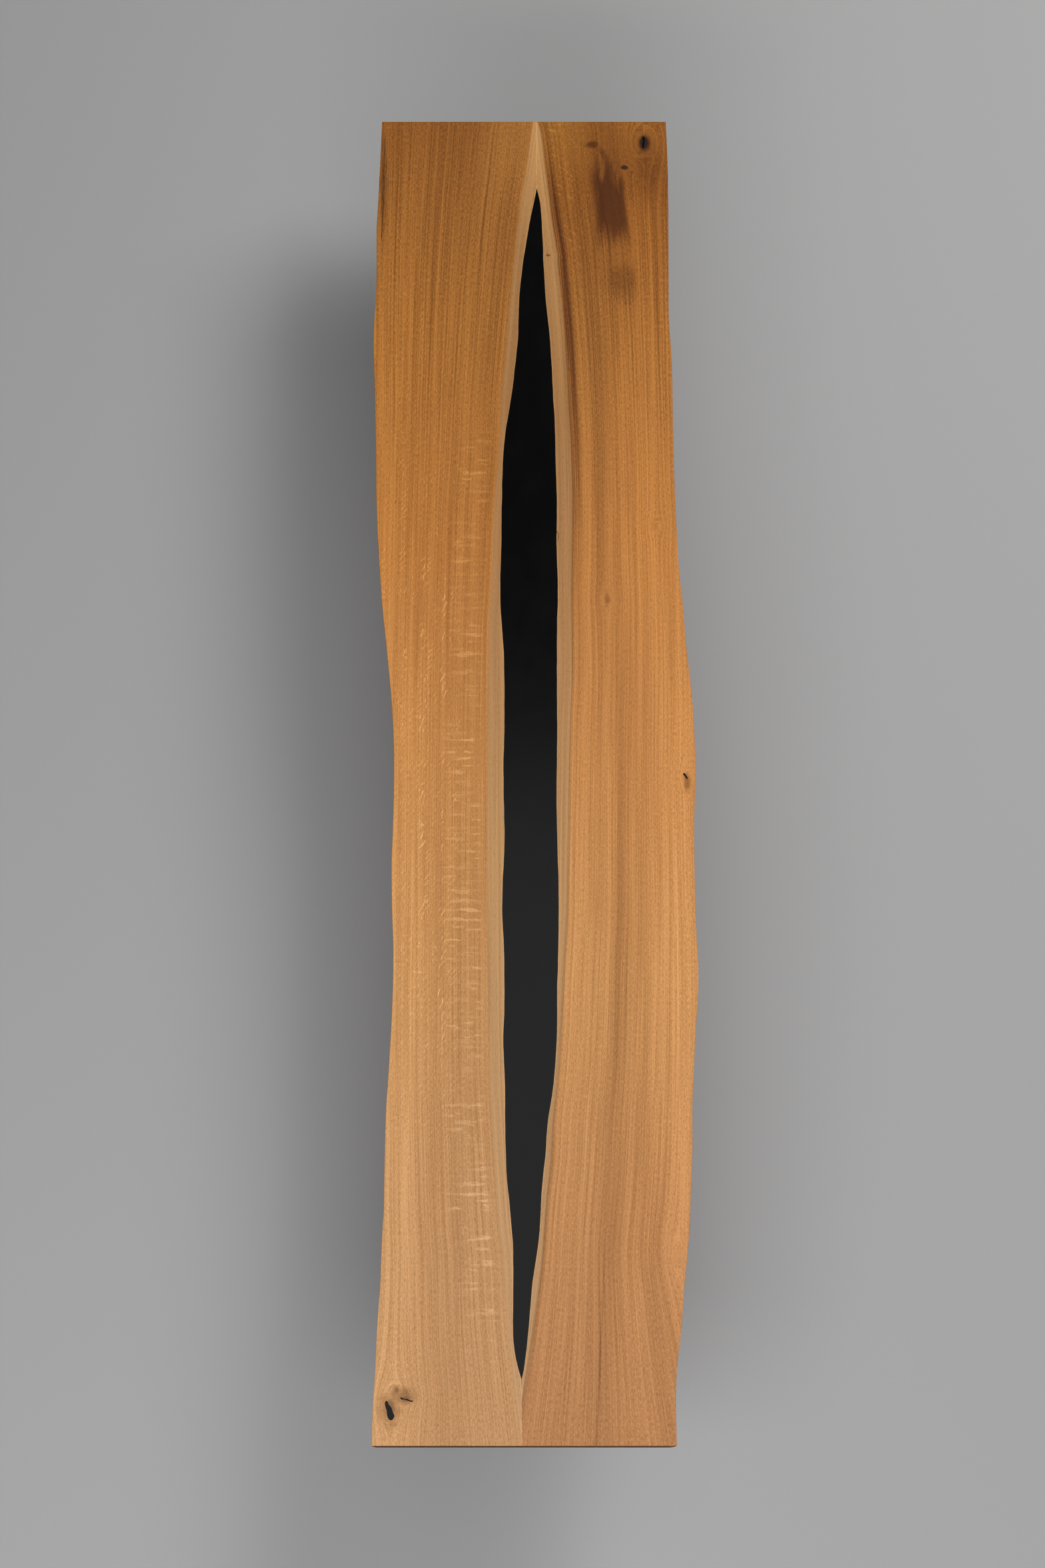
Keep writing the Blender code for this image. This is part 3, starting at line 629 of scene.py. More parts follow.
def oak_finish(name, side, knots, pith_across, pith_up, sap_edge, seam, honey):
    """Oak. The rings run round a pith off the plank's outer edge, so they show as lines along the faces and
    arcs on the ends. Pores, bands of colour, sapwood and knots go over them. Returns what the two planks'
    own figure is added to."""
    paint = Finish(name, 0.6, Specular_IOR_Level=0.12)
    x, y, z = paint.axes(paint.place())
    across = paint.axes(paint.node("ShaderNodeUVMap", {"uv_map": "grain"}))[0]
    to_river, to_outer = paint.axes(paint.node("ShaderNodeUVMap", {"uv_map": "edges"}))[:2]
    knot_dark = None
    for middle, radius, bend, stretch, darkness in knots:
        dx, dy = x - middle[0], (y - middle[1]) / stretch
        far_from = dx * dx + dy * dy
        across = across - side * dx * bend ** 2 / (far_from | (bend * 0.55) ** 2)
        core = paint.maths("SQRT", far_from).rise(radius * 1.1, radius * 0.5) * darkness
        knot_dark = core if knot_dark is None else knot_dark | core
    wander = paint.noise(across * 7, y * 0.9, z * 3, 1.0) * 0.006
    wander = wander + paint.noise(across * 22, y * 3.2, z * 8, 1.0) * 0.0009
    rise_up = z - pith_up
    from_pith = across + wander - pith_across
    ring = paint.maths("SQRT", from_pith * from_pith + rise_up * rise_up)
    broad = paint.noise(ring * 15, y * 0.35, 3.7, 2.0)
    bands = paint.noise(ring * 70, y * 0.45, 9.1, 2.0, 0.6)
    lines = paint.noise(ring * 185, y * 0.9, z * 4, 3.0, 0.85)
    threads = paint.noise(ring * 400, y * 85, z * 60, 3.0, 0.8)
    pores = (paint.noise(ring * 430, y * 52, z * 160, 2.0, 0.6) + lines * 0.35).rise(0.10, 0.5)
    return SimpleNamespace(
        paint=paint, x=x, y=y, z=z, across=across, to_river=to_river,
        to_outer=to_outer, broad=broad, bands=bands, lines=lines, threads=threads, pores=pores,
        knot_dark=knot_dark, sap_edge=sap_edge, seam=seam, honey=y.rise(1.5, 0.6) * honey)


def finish_oak(oak, heartwood, figure, stain_and_any_crack_shade, darker_band):
    """Brings the oak's parts together: the heartwood's tone along the plank, partly painted light that darkens
    towards the far end, then the lines, then sapwood, stains with painted shade inside any drying cracks,
    and knots, and the light figure on top."""
    paint, x, y, z = oak.paint, oak.x, oak.y, oak.z
    # The heartwood's tone along the plank, partly painted light that darkens towards the far end.
    colour = y.ramp(heartwood)
    dark = 0.5 + oak.bands * 0.28 + oak.lines * 0.95 + oak.threads * 1.15 + oak.broad * 0.2
    to_far_end = y.rise(0.2, 1.7)
    bright_oak = paint.product(colour, to_far_end.mix((1.06, 1.10, 1.15, 1.0), (1.20, 1.26, 1.33, 1.0)))
    dark_tone = to_far_end.mix((0.60, 0.54, 0.46, 1.0), (0.40, 0.34, 0.26, 1.0))
    colour = dark.rise(-0.1, 1.1).times(bright_oak, dark_tone)
    golden = oak.to_outer.rise(0.25, 0.13)
    colour = golden.times(colour, (1.12, 1.13, 1.13, 1.0))
    honey = oak.to_outer.rise(0.14, 0.05) * oak.honey
    colour = honey.times(colour, (1.10, 1.12, 1.13, 1.0))
    paler = y.rise(1.85, 2.22) * oak.across.rise(0.17, 0.03)
    colour = paler.times(colour, (1.30, 1.42, 1.60, 1.0))
    colour = oak.across.rise(0.10, 0.16).times(colour, (0.95, 0.93, 0.91, 1.0))
    jagged = oak.across + oak.lines * 0.003 + paint.noise(oak.across * 30, y * 14, 2.0, 2.0) * 0.002
    sap = jagged.rise(oak.sap_edge, -0.002)
    sap_lines = (0.5 + oak.lines * 0.9 + oak.bands * 0.5 + oak.threads * 0.6).rise(-0.1, 1.1)
    bright_sap = paint.product(y.ramp(SAPWOOD), (1.06, 1.08, 1.12, 1.0))
    sap_colour = sap_lines.times(bright_sap, (0.68, 0.64, 0.58, 1.0))
    specks = (paint.noise(x * 150, y * 62, 5.0, 3.0, 0.7) + oak.lines * 0.4).rise(0.30, 0.62) * 0.7
    sap_colour = specks.times(sap_colour, (0.52, 0.46, 0.40, 1.0))
    colour = sap.mix(colour, sap_colour)
    seam = oak.across.rise(-0.004, 0.0) * oak.across.rise(0.006, 0.001) * oak.seam
    colour = (seam * (oak.lines + 0.7).rise(0.1, 0.9)).times(colour, (0.52, 0.46, 0.42, 1.0))
    colour = darker_band.times(colour, (0.36, 0.27, 0.22, 1.0))
    # Stains, and on the left plank the painted shade down inside the drying cracks.
    colour = stain_and_any_crack_shade.times(colour, (0.20, 0.12, 0.03, 1.0))
    colour = (figure * (1 - stain_and_any_crack_shade * 0.7)).times(colour, (1.48, 1.72, 2.2, 1.0))
    rim = oak.to_river.rise(0.0034, 0.0004) * 0.6
    colour = rim.times(colour, (1.35, 1.42, 1.55, 1.0))
    burnt = oak.knot_dark * (0.90 + oak.threads * 0.5)
    colour = burnt.mix(colour, tint(34, 17, 8))
    colour = (oak.pores * 0.5).times(colour, (0.52, 0.46, 0.42, 1.0))
    facing = paint.axes(paint.node("ShaderNodeNewGeometry", (), (), 1))
    end_on = paint.maths("ABSOLUTE", facing[1]).rise(0.6, 0.9)
    dots = paint.noise(x * 520, z * 620, 1.0, 2.0).rise(0.1, 0.5)
    rays = paint.noise(x * 55, z * 8 + x * 260, 4.0, 1.0).rise(0.35, 0.6)
    end_grain = (0.55 + oak.lines * 0.9 + dots * 0.3 - rays * 0.35).rise(0.0, 1.0)
    colour = end_on.mix(colour, end_grain.mix(tint(122, 84, 52), tint(78, 52, 33)))
    paint.wire("Base Color", colour)
    paint.wire("Roughness", 0.56 + oak.pores * 0.15 - figure * 0.08 + end_on * 0.2)
    paint.bump(0.35, 0.0004, oak.pores * -0.5 + oak.lines * 0.25 + figure * 0.1)


def stained(oak, ragged, rows):
    """Stains on the wood, each with a middle, radii, lean, raggedness, outer and inner reach, and darkness."""
    dark = None
    for (u, v), radii, lean, rough, reach, core, darkness in rows:
        slid = oak.x + (oak.y - v) * lean if lean else oak.x
        mark = (oak.paint.reach(slid, oak.y, (u, v), radii) + ragged * rough).rise(reach, core) * darkness
        dark = mark if dark is None else dark | mark
    return dark


def ray_chains(paint, x, y, spacing, tooth, lean, width, seed, presence):
    """Light strokes where the saw has met the oak's rays nearly edge on. They lean one way, and follow each
    other in broken, wandering chains along the plank."""
    wander = paint.noise(y * 6, seed, 0.0, 2.0) * 0.030 + paint.noise(x * 34, y * 50, seed, 2.0) * 0.0075
    step = y / tooth + paint.noise(x * 9, y * 4, seed + 5, 1.0) * 1.6
    slant = (paint.maths("FRACT", step) - 0.5) * tooth * math.tan(math.radians(lean))
    place = (x - wander - slant) / spacing
    chain = paint.maths("FLOOR", place)
    off = paint.maths("ABSOLUTE", place - chain - 0.5) * spacing
    thick = width * (0.75 + paint.noise(x * 70, y * 70, seed + 2, 1.0) * 0.9)
    present = paint.noise(chain * 7.3, y * 13, seed + 8, 2.0).rise(presence, presence + 0.22)
    ends = paint.maths("ABSOLUTE", paint.maths("FRACT", step) - 0.5).rise(0.5, 0.40)
    return (off / (thick | 0.0001)).rise(1.0, 0.35) * present * ends


def ray_bars(paint, x, y, across, along, seed, threshold):
    """Ragged light bars across the grain, where the saw has met the rays flat on."""
    jagged = y + paint.noise(x * 75, y * 60, seed, 2.0) * 0.0022
    shape = paint.noise(x * across, jagged * along, seed, 3.0, 0.55)
    return shape.rise(threshold, threshold + 0.10)


left = oak_finish("left_oak", -1, LEFT_KNOTS, pith_across=0.475, pith_up=TOP_FACE - 0.02, sap_edge=0.004,
                  seam=0.15, honey=1.0)
paint, x, y = left.paint, left.x, left.y
middle_length = y.rise(1.35, 0.7) * y.rise(-1.45, -0.6)
in_heart = left.across.rise(0.010, 0.04)
bold_rays = middle_length * (ray_chains(paint, x, y, 0.066, 0.034, 24, 0.0030, 11.0, 0.0)
                             | ray_chains(paint, x + 0.031, y, 0.090, 0.020, 34, 0.0026, 14.0, 0.0))
fine_rays = ray_chains(paint, x, y, 0.026, 0.022, 29, 0.0017, 17.0, -0.1)
fine_rays = fine_rays * y.rise(2.15, 1.75) * y.rise(-1.9, -0.9)
chain_field = (left.across + left.bands * 0.03).rise(0.07, 0.13) * (left.to_outer.rise(0.02, 0.09) * 0.55 + 0.45)
patches = ray_bars(paint, x, y, 42, 44, 23.0, 0.28) * middle_length
patches = patches * paint.noise(x * 9, y * 2.2, 40.0, 1.0).rise(0.0, 0.25) * left.across.rise(0.10, 0.15)
bars_near = left.across.rise(0.17, 0.11) * y.rise(1.3, 0.95) * y.rise(-2.1, -1.6)
cluster = paint.noise(x * 5, y * 4.3, 33.0, 3.0, 0.7).rise(-0.3, 0.3)
bars = ray_bars(paint, x, y, 11, 62, 29.0, 0.10) * bars_near * cluster
ripple = paint.noise(x * 7, y * 62, 36.0, 2.0).rise(0.0, 0.6) * bars_near * 0.3
broken = (left.lines * 0.6 + left.threads * 0.5 + 0.8).rise(0.2, 1.0)
figure = (fine_rays * 0.6 | bold_rays | patches * 0.75) * chain_field * in_heart
figure = figure | (bars * 0.85 + ripple) * in_heart * broken
around = paint.noise(x * 55, y * 45, 8.0, 3.0) * 0.55
# Painted shade inside the drying cracks: their mark is darker the deeper a point lies below the top face.
crack_depth_shade = left.z.rise(TOP_FACE + 0.0004, TOP_FACE - 0.003) * 0.35 + 0.6
stain_and_any_crack_shade = stained(left, around, [
    ((-0.460, -2.135), (0.046, 0.066), 0, 1.0, 1.15, 0.2, 0.46),
    ((-0.416, -2.092), (0.052, 0.036), 0, 1.0, 1.15, 0.2, 0.50),
    ((-0.434, -2.074), (0.020, 0.022), 0, 1.0, 1.00, 0.2, 0.50)])
# Brown stain round the drying cracks by the far left edge, with painted shade inside them that is deepest at their
# bottoms.
splinters = paint.noise(x * 330, y * 16, 1.0, 2.0)
crack_stain_and_shade = stained(left, splinters, [((-0.508, 2.00), (0.019, 0.26), 0, 0.9, 0.9, 0.2, 0.85)])
stain_and_any_crack_shade = stain_and_any_crack_shade | crack_stain_and_shade * left.to_outer.rise(-0.001, 0.004) * crack_depth_shade
smoky = paint.noise(left.across * 26, y * 1.3, 12.0, 2.0).rise(0.2, 0.75) * 0.22
finish_oak(left, LEFT_HEARTWOOD_AND_LIGHT, figure, stain_and_any_crack_shade, smoky)

right = oak_finish("right_oak", 1, RIGHT_KNOTS, pith_across=0.52, pith_up=TOP_FACE - 0.11, sap_edge=0.006,
                   seam=0.5, honey=0.3)
paint, x, y = right.paint, right.x, right.y
cloud = paint.noise(x * 34, y * 8, 15.0, 4.0) * 0.6 + right.lines * 0.6 + right.threads * 0.25
drift = cloud * 0.022
lean = x + drift - (2.09 - y) * 0.105
column = lean.rise(0.166, 0.216) * lean.rise(0.315, 0.288)
smudge = column * (y + cloud * 0.17).rise(2.17, 2.03) * (y + cloud * 0.12).rise(1.74, 1.88)
wedge = paint.reach(x + drift, y, (0.232, 2.075), (0.014, 0.060)).rise(1.0, 0.3) * 0.6
pale_strip = paint.reach(x + drift, y, (0.291, 2.03), (0.005, 0.060)).rise(1.0, 0.2) * 0.45
smudge = smudge * (1.0 - (right.lines + right.threads * 0.5) * 0.55) * (1.0 - wedge) * (1.0 - pale_strip)
smudge_low = column * (y + cloud * 0.05).rise(1.77, 1.70) * (y + cloud * 0.10).rise(1.55, 1.66)
smudge_low = smudge_low * (0.26 + lean.rise(0.222, 0.238) * 0.22)
smudge_faint = column * (y + cloud * 0.1).rise(1.25, 1.75) * 0.16
dusk = stained(right, cloud, [((0.330, 2.06), (0.190, 0.14), 0, 0.8, 1.25, 0.3, 0.16)])
stain_and_any_crack_shade = dusk + smudge_faint | smudge * 0.84 | smudge_low | stained(right, cloud, [
    ((0.200, 2.166), (0.036, 0.018), 0, 0.9, 1.20, 0.20, 0.80),
    ((0.23675, 2.135), (0.017, 0.046), 0.35, 0.9, 1.20, 0.20, 0.62),
    ((0.392, 2.075), (0.062, 0.110), 0, 1.0, 1.30, 0.10, 0.42),
    ((0.380, 2.170), (0.026, 0.042), 0, 0.5, 1.15, 0.35, 0.92),
    ((0.506, -0.078), (0.017, 0.046), 0, 0.6, 1.05, 0.20, 0.62),
    ((0.2445, 0.555), (0.012, 0.042), 0, 0.8, 1.00, 0.20, 0.35)])
near_streak = paint.maths("ABSOLUTE", x - 0.2145 - (y + 1.916) * 0.046 + right.bands * 0.003)
near_streak = near_streak.rise(0.0065, 0.0012) * y.rise(-1.45, -1.8) * (right.lines + 0.8).rise(0.25, 0.9) * 0.5
side_band = right.across.rise(0.0, 0.003) * right.across.rise(0.036, 0.022)
side_band = side_band * (right.lines * 0.9 + right.bands * 0.6 + 0.72).rise(0.0, 0.9)
side_band = side_band * (y.rise(-0.1, 1.5) * 0.9 + 0.08) * y.rise(-1.3, 0.2) * (y.rise(2.2, 1.9) * 0.6 + 0.4)
warm_bands = right.broad.rise(0.05, 0.55) * 0.24
bands_dark = side_band | warm_bands | near_streak
flecks = ray_chains(paint, x, y, 0.026, 0.022, 14, 0.0015, 41.0, -0.1) * right.across.rise(0.02, 0.05)
flecks = flecks * right.across.rise(0.26, 0.16) * y.rise(0.4, 1.6) * 0.26
arcs = ray_bars(paint, x, y + x * x * 3, 26, 80, 51.0, 0.16) * y.rise(1.45, 1.9)
arcs = arcs * right.across.rise(0.012, 0.03) * right.across.rise(0.11, 0.06) * 0.6
finish_oak(right, RIGHT_HEARTWOOD_AND_LIGHT, flecks | arcs, stain_and_any_crack_shade, bands_dark)

for piece, oak, node in ((left_plank, left, "left_plank"), (right_plank, right, "right_plank")):
    oak.paint.cover(piece)
    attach(piece, "root")
    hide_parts(node)

# ================ The river of resin
# Opaque black epoxy, cast between the planks in one pour, then planed and sanded flush with the wood to
# a satin surface. It takes the exact line of the two natural edges.

RIVER_ACROSS = 8


def build_river():
    stations = [y for y, inset in plank_stations() if RIVER_NEAR_TIP - RIVER_HAIRLINE < y < RIVER_FAR_TIP]
    points = []
    for y in stations:
        left_x, right_x = river_edges(y)
        left_low, right_low = river_edges(y, low=True)
        points += [(left_x + (right_x - left_x) * i / RIVER_ACROSS, y, TOP_FACE) for i in range(RIVER_ACROSS + 1)]
        if right_low - left_low < NARROWEST:
            left_low, right_low = left_x, right_x
        points += [(right_low + (left_low - right_low) * i / RIVER_ACROSS, y, UNDERSIDE)
                   for i in range(RIVER_ACROSS + 1)]
    return closed_tube("resin_river", points, 2 * (RIVER_ACROSS + 1))


resin = Finish("black_resin_finish", 0.22, Specular_IOR_Level=0.33, Base_Color=(0.0008, 0.0008, 0.0009, 1.0))
x, y, z = resin.axes(resin.place())
haze = resin.noise(x * 14, y * 9, z * 9, 3.0)
sanding = resin.noise(x * 900, y * 60, z * 60, 2.0)
resin.wire("Roughness", 0.15 + haze * 0.03 + sanding * 0.03)
resin.bump(0.12, 0.0002, sanding + haze * 0.4)

river = build_river()
cut_away(river, grooves())
resin.cover(river)
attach(river, "root")
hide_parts("river_resin")

vein = prism_between("resin_vein", vein_outline(), TOP_FACE - VEIN_DEPTH, TOP_FACE, in_scene=True)
resin.cover(vein)
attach(vein, "root")

resin.cover_nodes("knot_fill")

# ================ The stiffeners
# Steel channels let into the underside across the grain, flush with it, to keep the wide planks flat.
# They are folded from 3 mm sheet and powder coated black.

powder = Finish("powder_coat_black", 0.5, Specular_IOR_Level=0.4)
dust = powder.mottle(9.0, 5.0, 0.65)
powder.wire("Base Color", dust.rise(0.35, 0.75).mix(tint(29, 29, 30), tint(42, 42, 43)))
powder.wire("Roughness", 0.44 + dust * 0.2)
powder.bump(0.25, 0.0002, powder.mottle(900.0, 2.0))
powder.cover_nodes(*STIFFENERS)

# ================ The stiffeners' screws and the frames' bolts
# Button heads turned with a six-sided socket: small screws hold the stiffeners to the wood through slots,
# and larger bolts hold the frames up to brass threaded inserts. All are steel, plated black.

zinc = Finish("black_zinc_plate", 0.35, Metallic=1.0)
patches = zinc.mottle(160.0, 3.0)
zinc.wire("Base Color", patches.rise(0.3, 0.7).mix(tint(52, 53, 56), tint(74, 73, 72)))
zinc.wire("Roughness", 0.28 + patches * 0.22)
zinc.bump(0.15, 0.0001, zinc.mottle(1500.0, 1.0))

HEAD_SIDES = 36
SCREW_HEAD_HEIGHT, BOLT_HEAD_HEIGHT = 0.003, 0.005


def turned_rings(profile, sides):
    """Rings of points round the z axis for a profile of (radius, height)."""
    return [(r * math.cos(2 * math.pi * i / sides), r * math.sin(2 * math.pi * i / sides), h)
            for r, h in profile for i in range(sides)]


def button_head():
    """A head one unit across and one unit high, hanging down from nought, with a hexagon socket and a
    stub of shank above."""
    socket_reach, socket_depth = 0.29, 0.62
    outside = [(0.24, 1.2), (0.24, 0.0), (0.5, 0.0), (0.5, -0.22), (0.492, -0.40), (0.468, -0.60),
               (0.430, -0.78), (0.375, -0.91), (0.325, -0.98), (0.31, -1.0)]
    points = turned_rings(outside, HEAD_SIDES)
    hexagon = []
    for i in range(HEAD_SIDES):
        angle = 2 * math.pi * i / HEAD_SIDES
        within = (angle + math.pi / 6) % (math.pi / 3) - math.pi / 6
        reach = socket_reach * math.cos(math.pi / 6) / math.cos(within)
        hexagon.append((reach * math.cos(angle), reach * math.sin(angle)))
    for height in (-1.0, -1.0 + socket_depth):
        points += [(x, y, height) for x, y in hexagon]
    return closed_tube("button_head", points, HEAD_SIDES, in_scene=False)


def new_tree(name, inputs):
    """A Geometry Nodes tree with a geometry in, named inputs, and a geometry out."""
    tree = bpy.data.node_groups.new(name, "GeometryNodeTree")
    tree.interface.new_socket("Geometry", in_out="INPUT", socket_type="NodeSocketGeometry")
    for label, kind in inputs:
        tree.interface.new_socket(label, in_out="INPUT", socket_type=kind)
    tree.interface.new_socket("Geometry", in_out="OUTPUT", socket_type="NodeSocketGeometry")
    entry = tree.nodes.new("NodeGroupInput")
    sockets = {out.name: Shade(tree, out) for out in entry.outputs if out.name}
    return tree, sockets


def end_tree(tree, laid, finish):
    """Makes real what has been laid, gives it a finish and sends it out."""
    real = laid.node("GeometryNodeRealizeInstances", (), {"Geometry": laid})
    finished = laid.node("GeometryNodeSetMaterial", (), {"Geometry": real, "Material": finish})
    tree.links.new(finished.socket, tree.nodes.new("NodeGroupOutput").inputs[0])


def grown(name, source, tree, values):
    """What a tree makes of a source mesh, as a plain mesh in a new object."""
    modifier = source.modifiers.new(name, "NODES")
    modifier.node_group = tree
    for item in tree.interface.items_tree:
        if item.item_type == "SOCKET" and item.in_out == "INPUT" and item.name in values:
            modifier[item.identifier] = values[item.name]
    bpy.context.view_layer.update()
    graph = bpy.context.evaluated_depsgraph_get()
    mesh = bpy.data.meshes.new_from_object(source.evaluated_get(graph))
    bpy.data.objects.remove(source)
    return put_in_scene(name, mesh)


def spots(name, places, edges=()):
    """A mesh of points, loose or joined by edges."""
    mesh = bpy.data.meshes.new(name)
    mesh.from_pydata(places, edges, [])
    return put_in_scene(name, mesh)


head_tree, head_in = new_tree("heads_on_points", [
    ("Head", "NodeSocketObject"), ("Width", "NodeSocketFloat"), ("Height", "NodeSocketFloat"),
    ("Seed", "NodeSocketInt"), ("Finish", "NodeSocketMaterial")])
build = head_in["Geometry"]
one_head = build.node("GeometryNodeObjectInfo", {"transform_space": "ORIGINAL"}, {"Object": head_in["Head"]},
                      "Geometry")
turn = build.chance(0.0, 2 * math.pi, head_in["Seed"])
sized = build.vector(head_in["Width"], head_in["Width"], head_in["Height"])
placed = build.node("GeometryNodeInstanceOnPoints", (), {
    "Points": build, "Instance": one_head, "Rotation": build.vector(0.0, 0.0, turn), "Scale": sized})
end_tree(head_tree, placed, head_in["Finish"])

unit_head = button_head()
for name, start, height, seed in (("stiffener_screw_heads", "stiffener_screw", SCREW_HEAD_HEIGHT, 3),
                                  ("frame_bolt_heads", "frame_bolt", BOLT_HEAD_HEIGHT, 5)):
    nodes = nodes_named(start)
    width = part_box(nodes[-1])[1].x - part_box(nodes[-1])[0].x
    places = [(*middle_of(node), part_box(node)[0].z + height) for node in nodes]
    heads = grown(name, spots(name + "_places", places), head_tree, {
        "Head": unit_head, "Width": width, "Height": height, "Seed": seed, "Finish": zinc.material})
    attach(heads, "root")
    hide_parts(*nodes)
bpy.data.objects.remove(unit_head)

# ================ The threaded inserts
# Brass sleeves screwed into bored holes in the planks, for the frames' bolts. They are as machined.

brass = Finish("machined_brass", 0.3, Metallic=1.0)
tarnish = brass.mottle(90.0, 3.0)
brass.wire("Base Color", tarnish.rise(0.3, 0.75).mix(tint(214, 180, 108), tint(168, 128, 66)))
brass.wire("Roughness", 0.24 + tarnish * 0.2)
brass.cover_nodes("threaded_insert")

# ================ The skid frames
# Each is one weldment: a top plate with slots for the bolts, and a rectangular tube mitred into a U under
# it. The welds are left as laid where the tube meets the plate, and inside each mitre. Powder coated.

TUBE_CORNER = 0.004
CORNER_STEPS = 5
PLATE_ARRIS = 0.0008
SLOT_LENGTH, SLOT_WIDTH, SLOT_STEPS = 0.022, 0.0094, 8
WELD_SPACING = 0.0018
WELD_WIDTH = 0.0048
WELD_DROP = 0.0006  # how far under the plate a weld's middle is
ROUND_THE_TUBE = (1.02, 1.01)  # a weld's ring over the tube's size, across and along


def tube_section(box):
    """An upright's outline round its middle, as (across, along) with rounded corners."""
    across = (box[1].x - box[0].x) / 2 - TUBE_CORNER
    along = (box[1].y - box[0].y) / 2 - TUBE_CORNER
    corners = [(across, along), (-across, along), (-across, -along), (across, -along)]
    return [point for turn, (x, y) in enumerate(corners)
            for point in arc(x, y, TUBE_CORNER, math.pi / 2 * turn, math.pi / 2, CORNER_STEPS)]


def skid_tube(name, section, middle, left_box, right_box, runner_box):
    """The tube as one skin: down, along the floor and up again, with its mitres at 45 degrees."""
    left_x, right_x = (left_box[0].x + left_box[1].x) / 2, (right_box[0].x + right_box[1].x) / 2
    top, foot = left_box[1].z, (runner_box[0].z + runner_box[1].z) / 2
    points = []
    for place, normal in (((left_x, top), (1, 0)), ((left_x, foot), (1, 1)), ((right_x, foot), (-1, 1)),
                          ((right_x, top), (-1, 0))):
        for u, v in section:
            points.append((place[0] + u * normal[0], middle + v, place[1] + u * normal[1]))
    return closed_tube(name, points, len(section))


def bevelled_slab(name, low, high, slots):
    """A plate with eased edges, and round-ended slots through it at (x, y)."""
    bm = bmesh.new()
    bmesh.ops.create_cube(bm, size=1.0)
    for vert in bm.verts:
        vert.co = Vector([low[i] if vert.co[i] < 0 else high[i] for i in range(3)])
    bmesh.ops.bevel(bm, geom=bm.edges[:], offset=PLATE_ARRIS, segments=2, profile=0.5, affect="EDGES")
    mesh = bpy.data.meshes.new(name)
    bm.to_mesh(mesh)
    bm.free()
    slab = put_in_scene(name, mesh)
    half, cutters = (SLOT_LENGTH - SLOT_WIDTH) / 2, []
    for x, y in slots:
        outline = (arc(x + half, y, SLOT_WIDTH / 2, -math.pi / 2, math.pi, SLOT_STEPS)
                   + arc(x - half, y, SLOT_WIDTH / 2, math.pi / 2, math.pi, SLOT_STEPS))
        cutters.append(prism_between("slot", outline, low.z - CLEAR, high.z + CLEAR))
    cut_away(slab, cutters)
    return slab


def weld(points, closed, seed):
    """A bead laid along points."""
    count = len(points)
    edges = [(i, (i + 1) % count) for i in range(count if closed else count - 1)]
    return grown("bead", spots("bead_path", points, edges), weld_tree, {
        "Spacing": WELD_SPACING, "Bead width": WELD_WIDTH, "Seed": seed, "Finish": powder.material})


weld_tree, weld_in = new_tree("weld_bead", [
    ("Spacing", "NodeSocketFloat"), ("Bead width", "NodeSocketFloat"), ("Seed", "NodeSocketInt"),
    ("Finish", "NodeSocketMaterial")])
build = weld_in["Geometry"]
path = build.node("GeometryNodeMeshToCurve", (), {"Mesh": build})
even = build.node("GeometryNodeResampleCurve", {"mode": "LENGTH"}, {"Curve": path, "Length": weld_in["Spacing"]})
ripple = build.node("GeometryNodeMeshUVSphere", (), {"Segments": 10, "Rings": 6, "Radius": 0.5})
heading = build.node("FunctionNodeAlignRotationToVector", {"axis": "X"}, {
    "Vector": build.node("GeometryNodeInputTangent", (), ())})
wobble = build.chance(0.86, 1.14, weld_in["Seed"])
bead_size = weld_in["Bead width"] * wobble
laid = build.node("GeometryNodeInstanceOnPoints", (), {
    "Points": even, "Instance": ripple, "Rotation": heading,
    "Scale": build.vector(bead_size * 0.85, bead_size, bead_size)})
end_tree(weld_tree, laid, weld_in["Finish"])


def skid_frame(where):
    """Everything in one frame that is welded together, as one piece."""
    plate_low, plate_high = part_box(f"frame_plate_{where}")
    left_box, right_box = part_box(f"frame_upright_{where}_left"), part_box(f"frame_upright_{where}_right")
    runner_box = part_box(f"frame_runner_{where}")
    middle = (plate_low.y + plate_high.y) / 2
    section = tube_section(left_box)
    tube = skid_tube(f"skid_frame_{where}", section, middle, left_box, right_box, runner_box)
    slots = [middle_of(node) for node in nodes_named(f"frame_bolt_{where}")]
    parts = [tube, bevelled_slab("plate", plate_low, plate_high, slots)]
    for box, seed in ((left_box, 1), (right_box, 2)):
        x = (box[0].x + box[1].x) / 2
        ring = [(x + u * ROUND_THE_TUBE[0], middle + v * ROUND_THE_TUBE[1], plate_low.z - WELD_DROP)
                for u, v in section]
        parts.append(weld(ring, True, seed))
    for box, toward, seed in ((left_box, 1, 3), (right_box, -1, 4)):
        corner_x = box[1].x if toward > 0 else box[0].x
        half = (box[1].y - box[0].y) / 2 - TUBE_CORNER
        line = [(corner_x, middle - half, runner_box[1].z), (corner_x, middle + half, runner_box[1].z)]
        parts.append(weld(line, False, seed))
    bm = bmesh.new()
    for part in parts:
        bm.from_mesh(part.data)
    for face in bm.faces:
        face.material_index = 0
    bm.to_mesh(tube.data)
    bm.free()
    for part in parts[1:]:
        bpy.data.objects.remove(part)
    powder.cover(tube)
    return tube


for where in ("near", "far"):
    skid = skid_frame(where)
    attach(skid, "root")
    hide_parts(f"frame_plate_{where}", f"frame_upright_{where}_left", f"frame_upright_{where}_right",
                f"frame_runner_{where}")

# ================ The glides
# Moulded nylon feet under each end of the runners, with a rounded edge, fixed by a screw from below.

nylon = Finish("black_nylon", 0.6)
scuffs = nylon.mottle(60.0, 4.0)
nylon.wire("Base Color", scuffs.rise(0.4, 0.7).mix(tint(34, 34, 35), tint(58, 57, 56)))
nylon.wire("Roughness", 0.5 + scuffs * 0.3)
nylon.bump(0.3, 0.0002, nylon.mottle(700.0, 3.0))

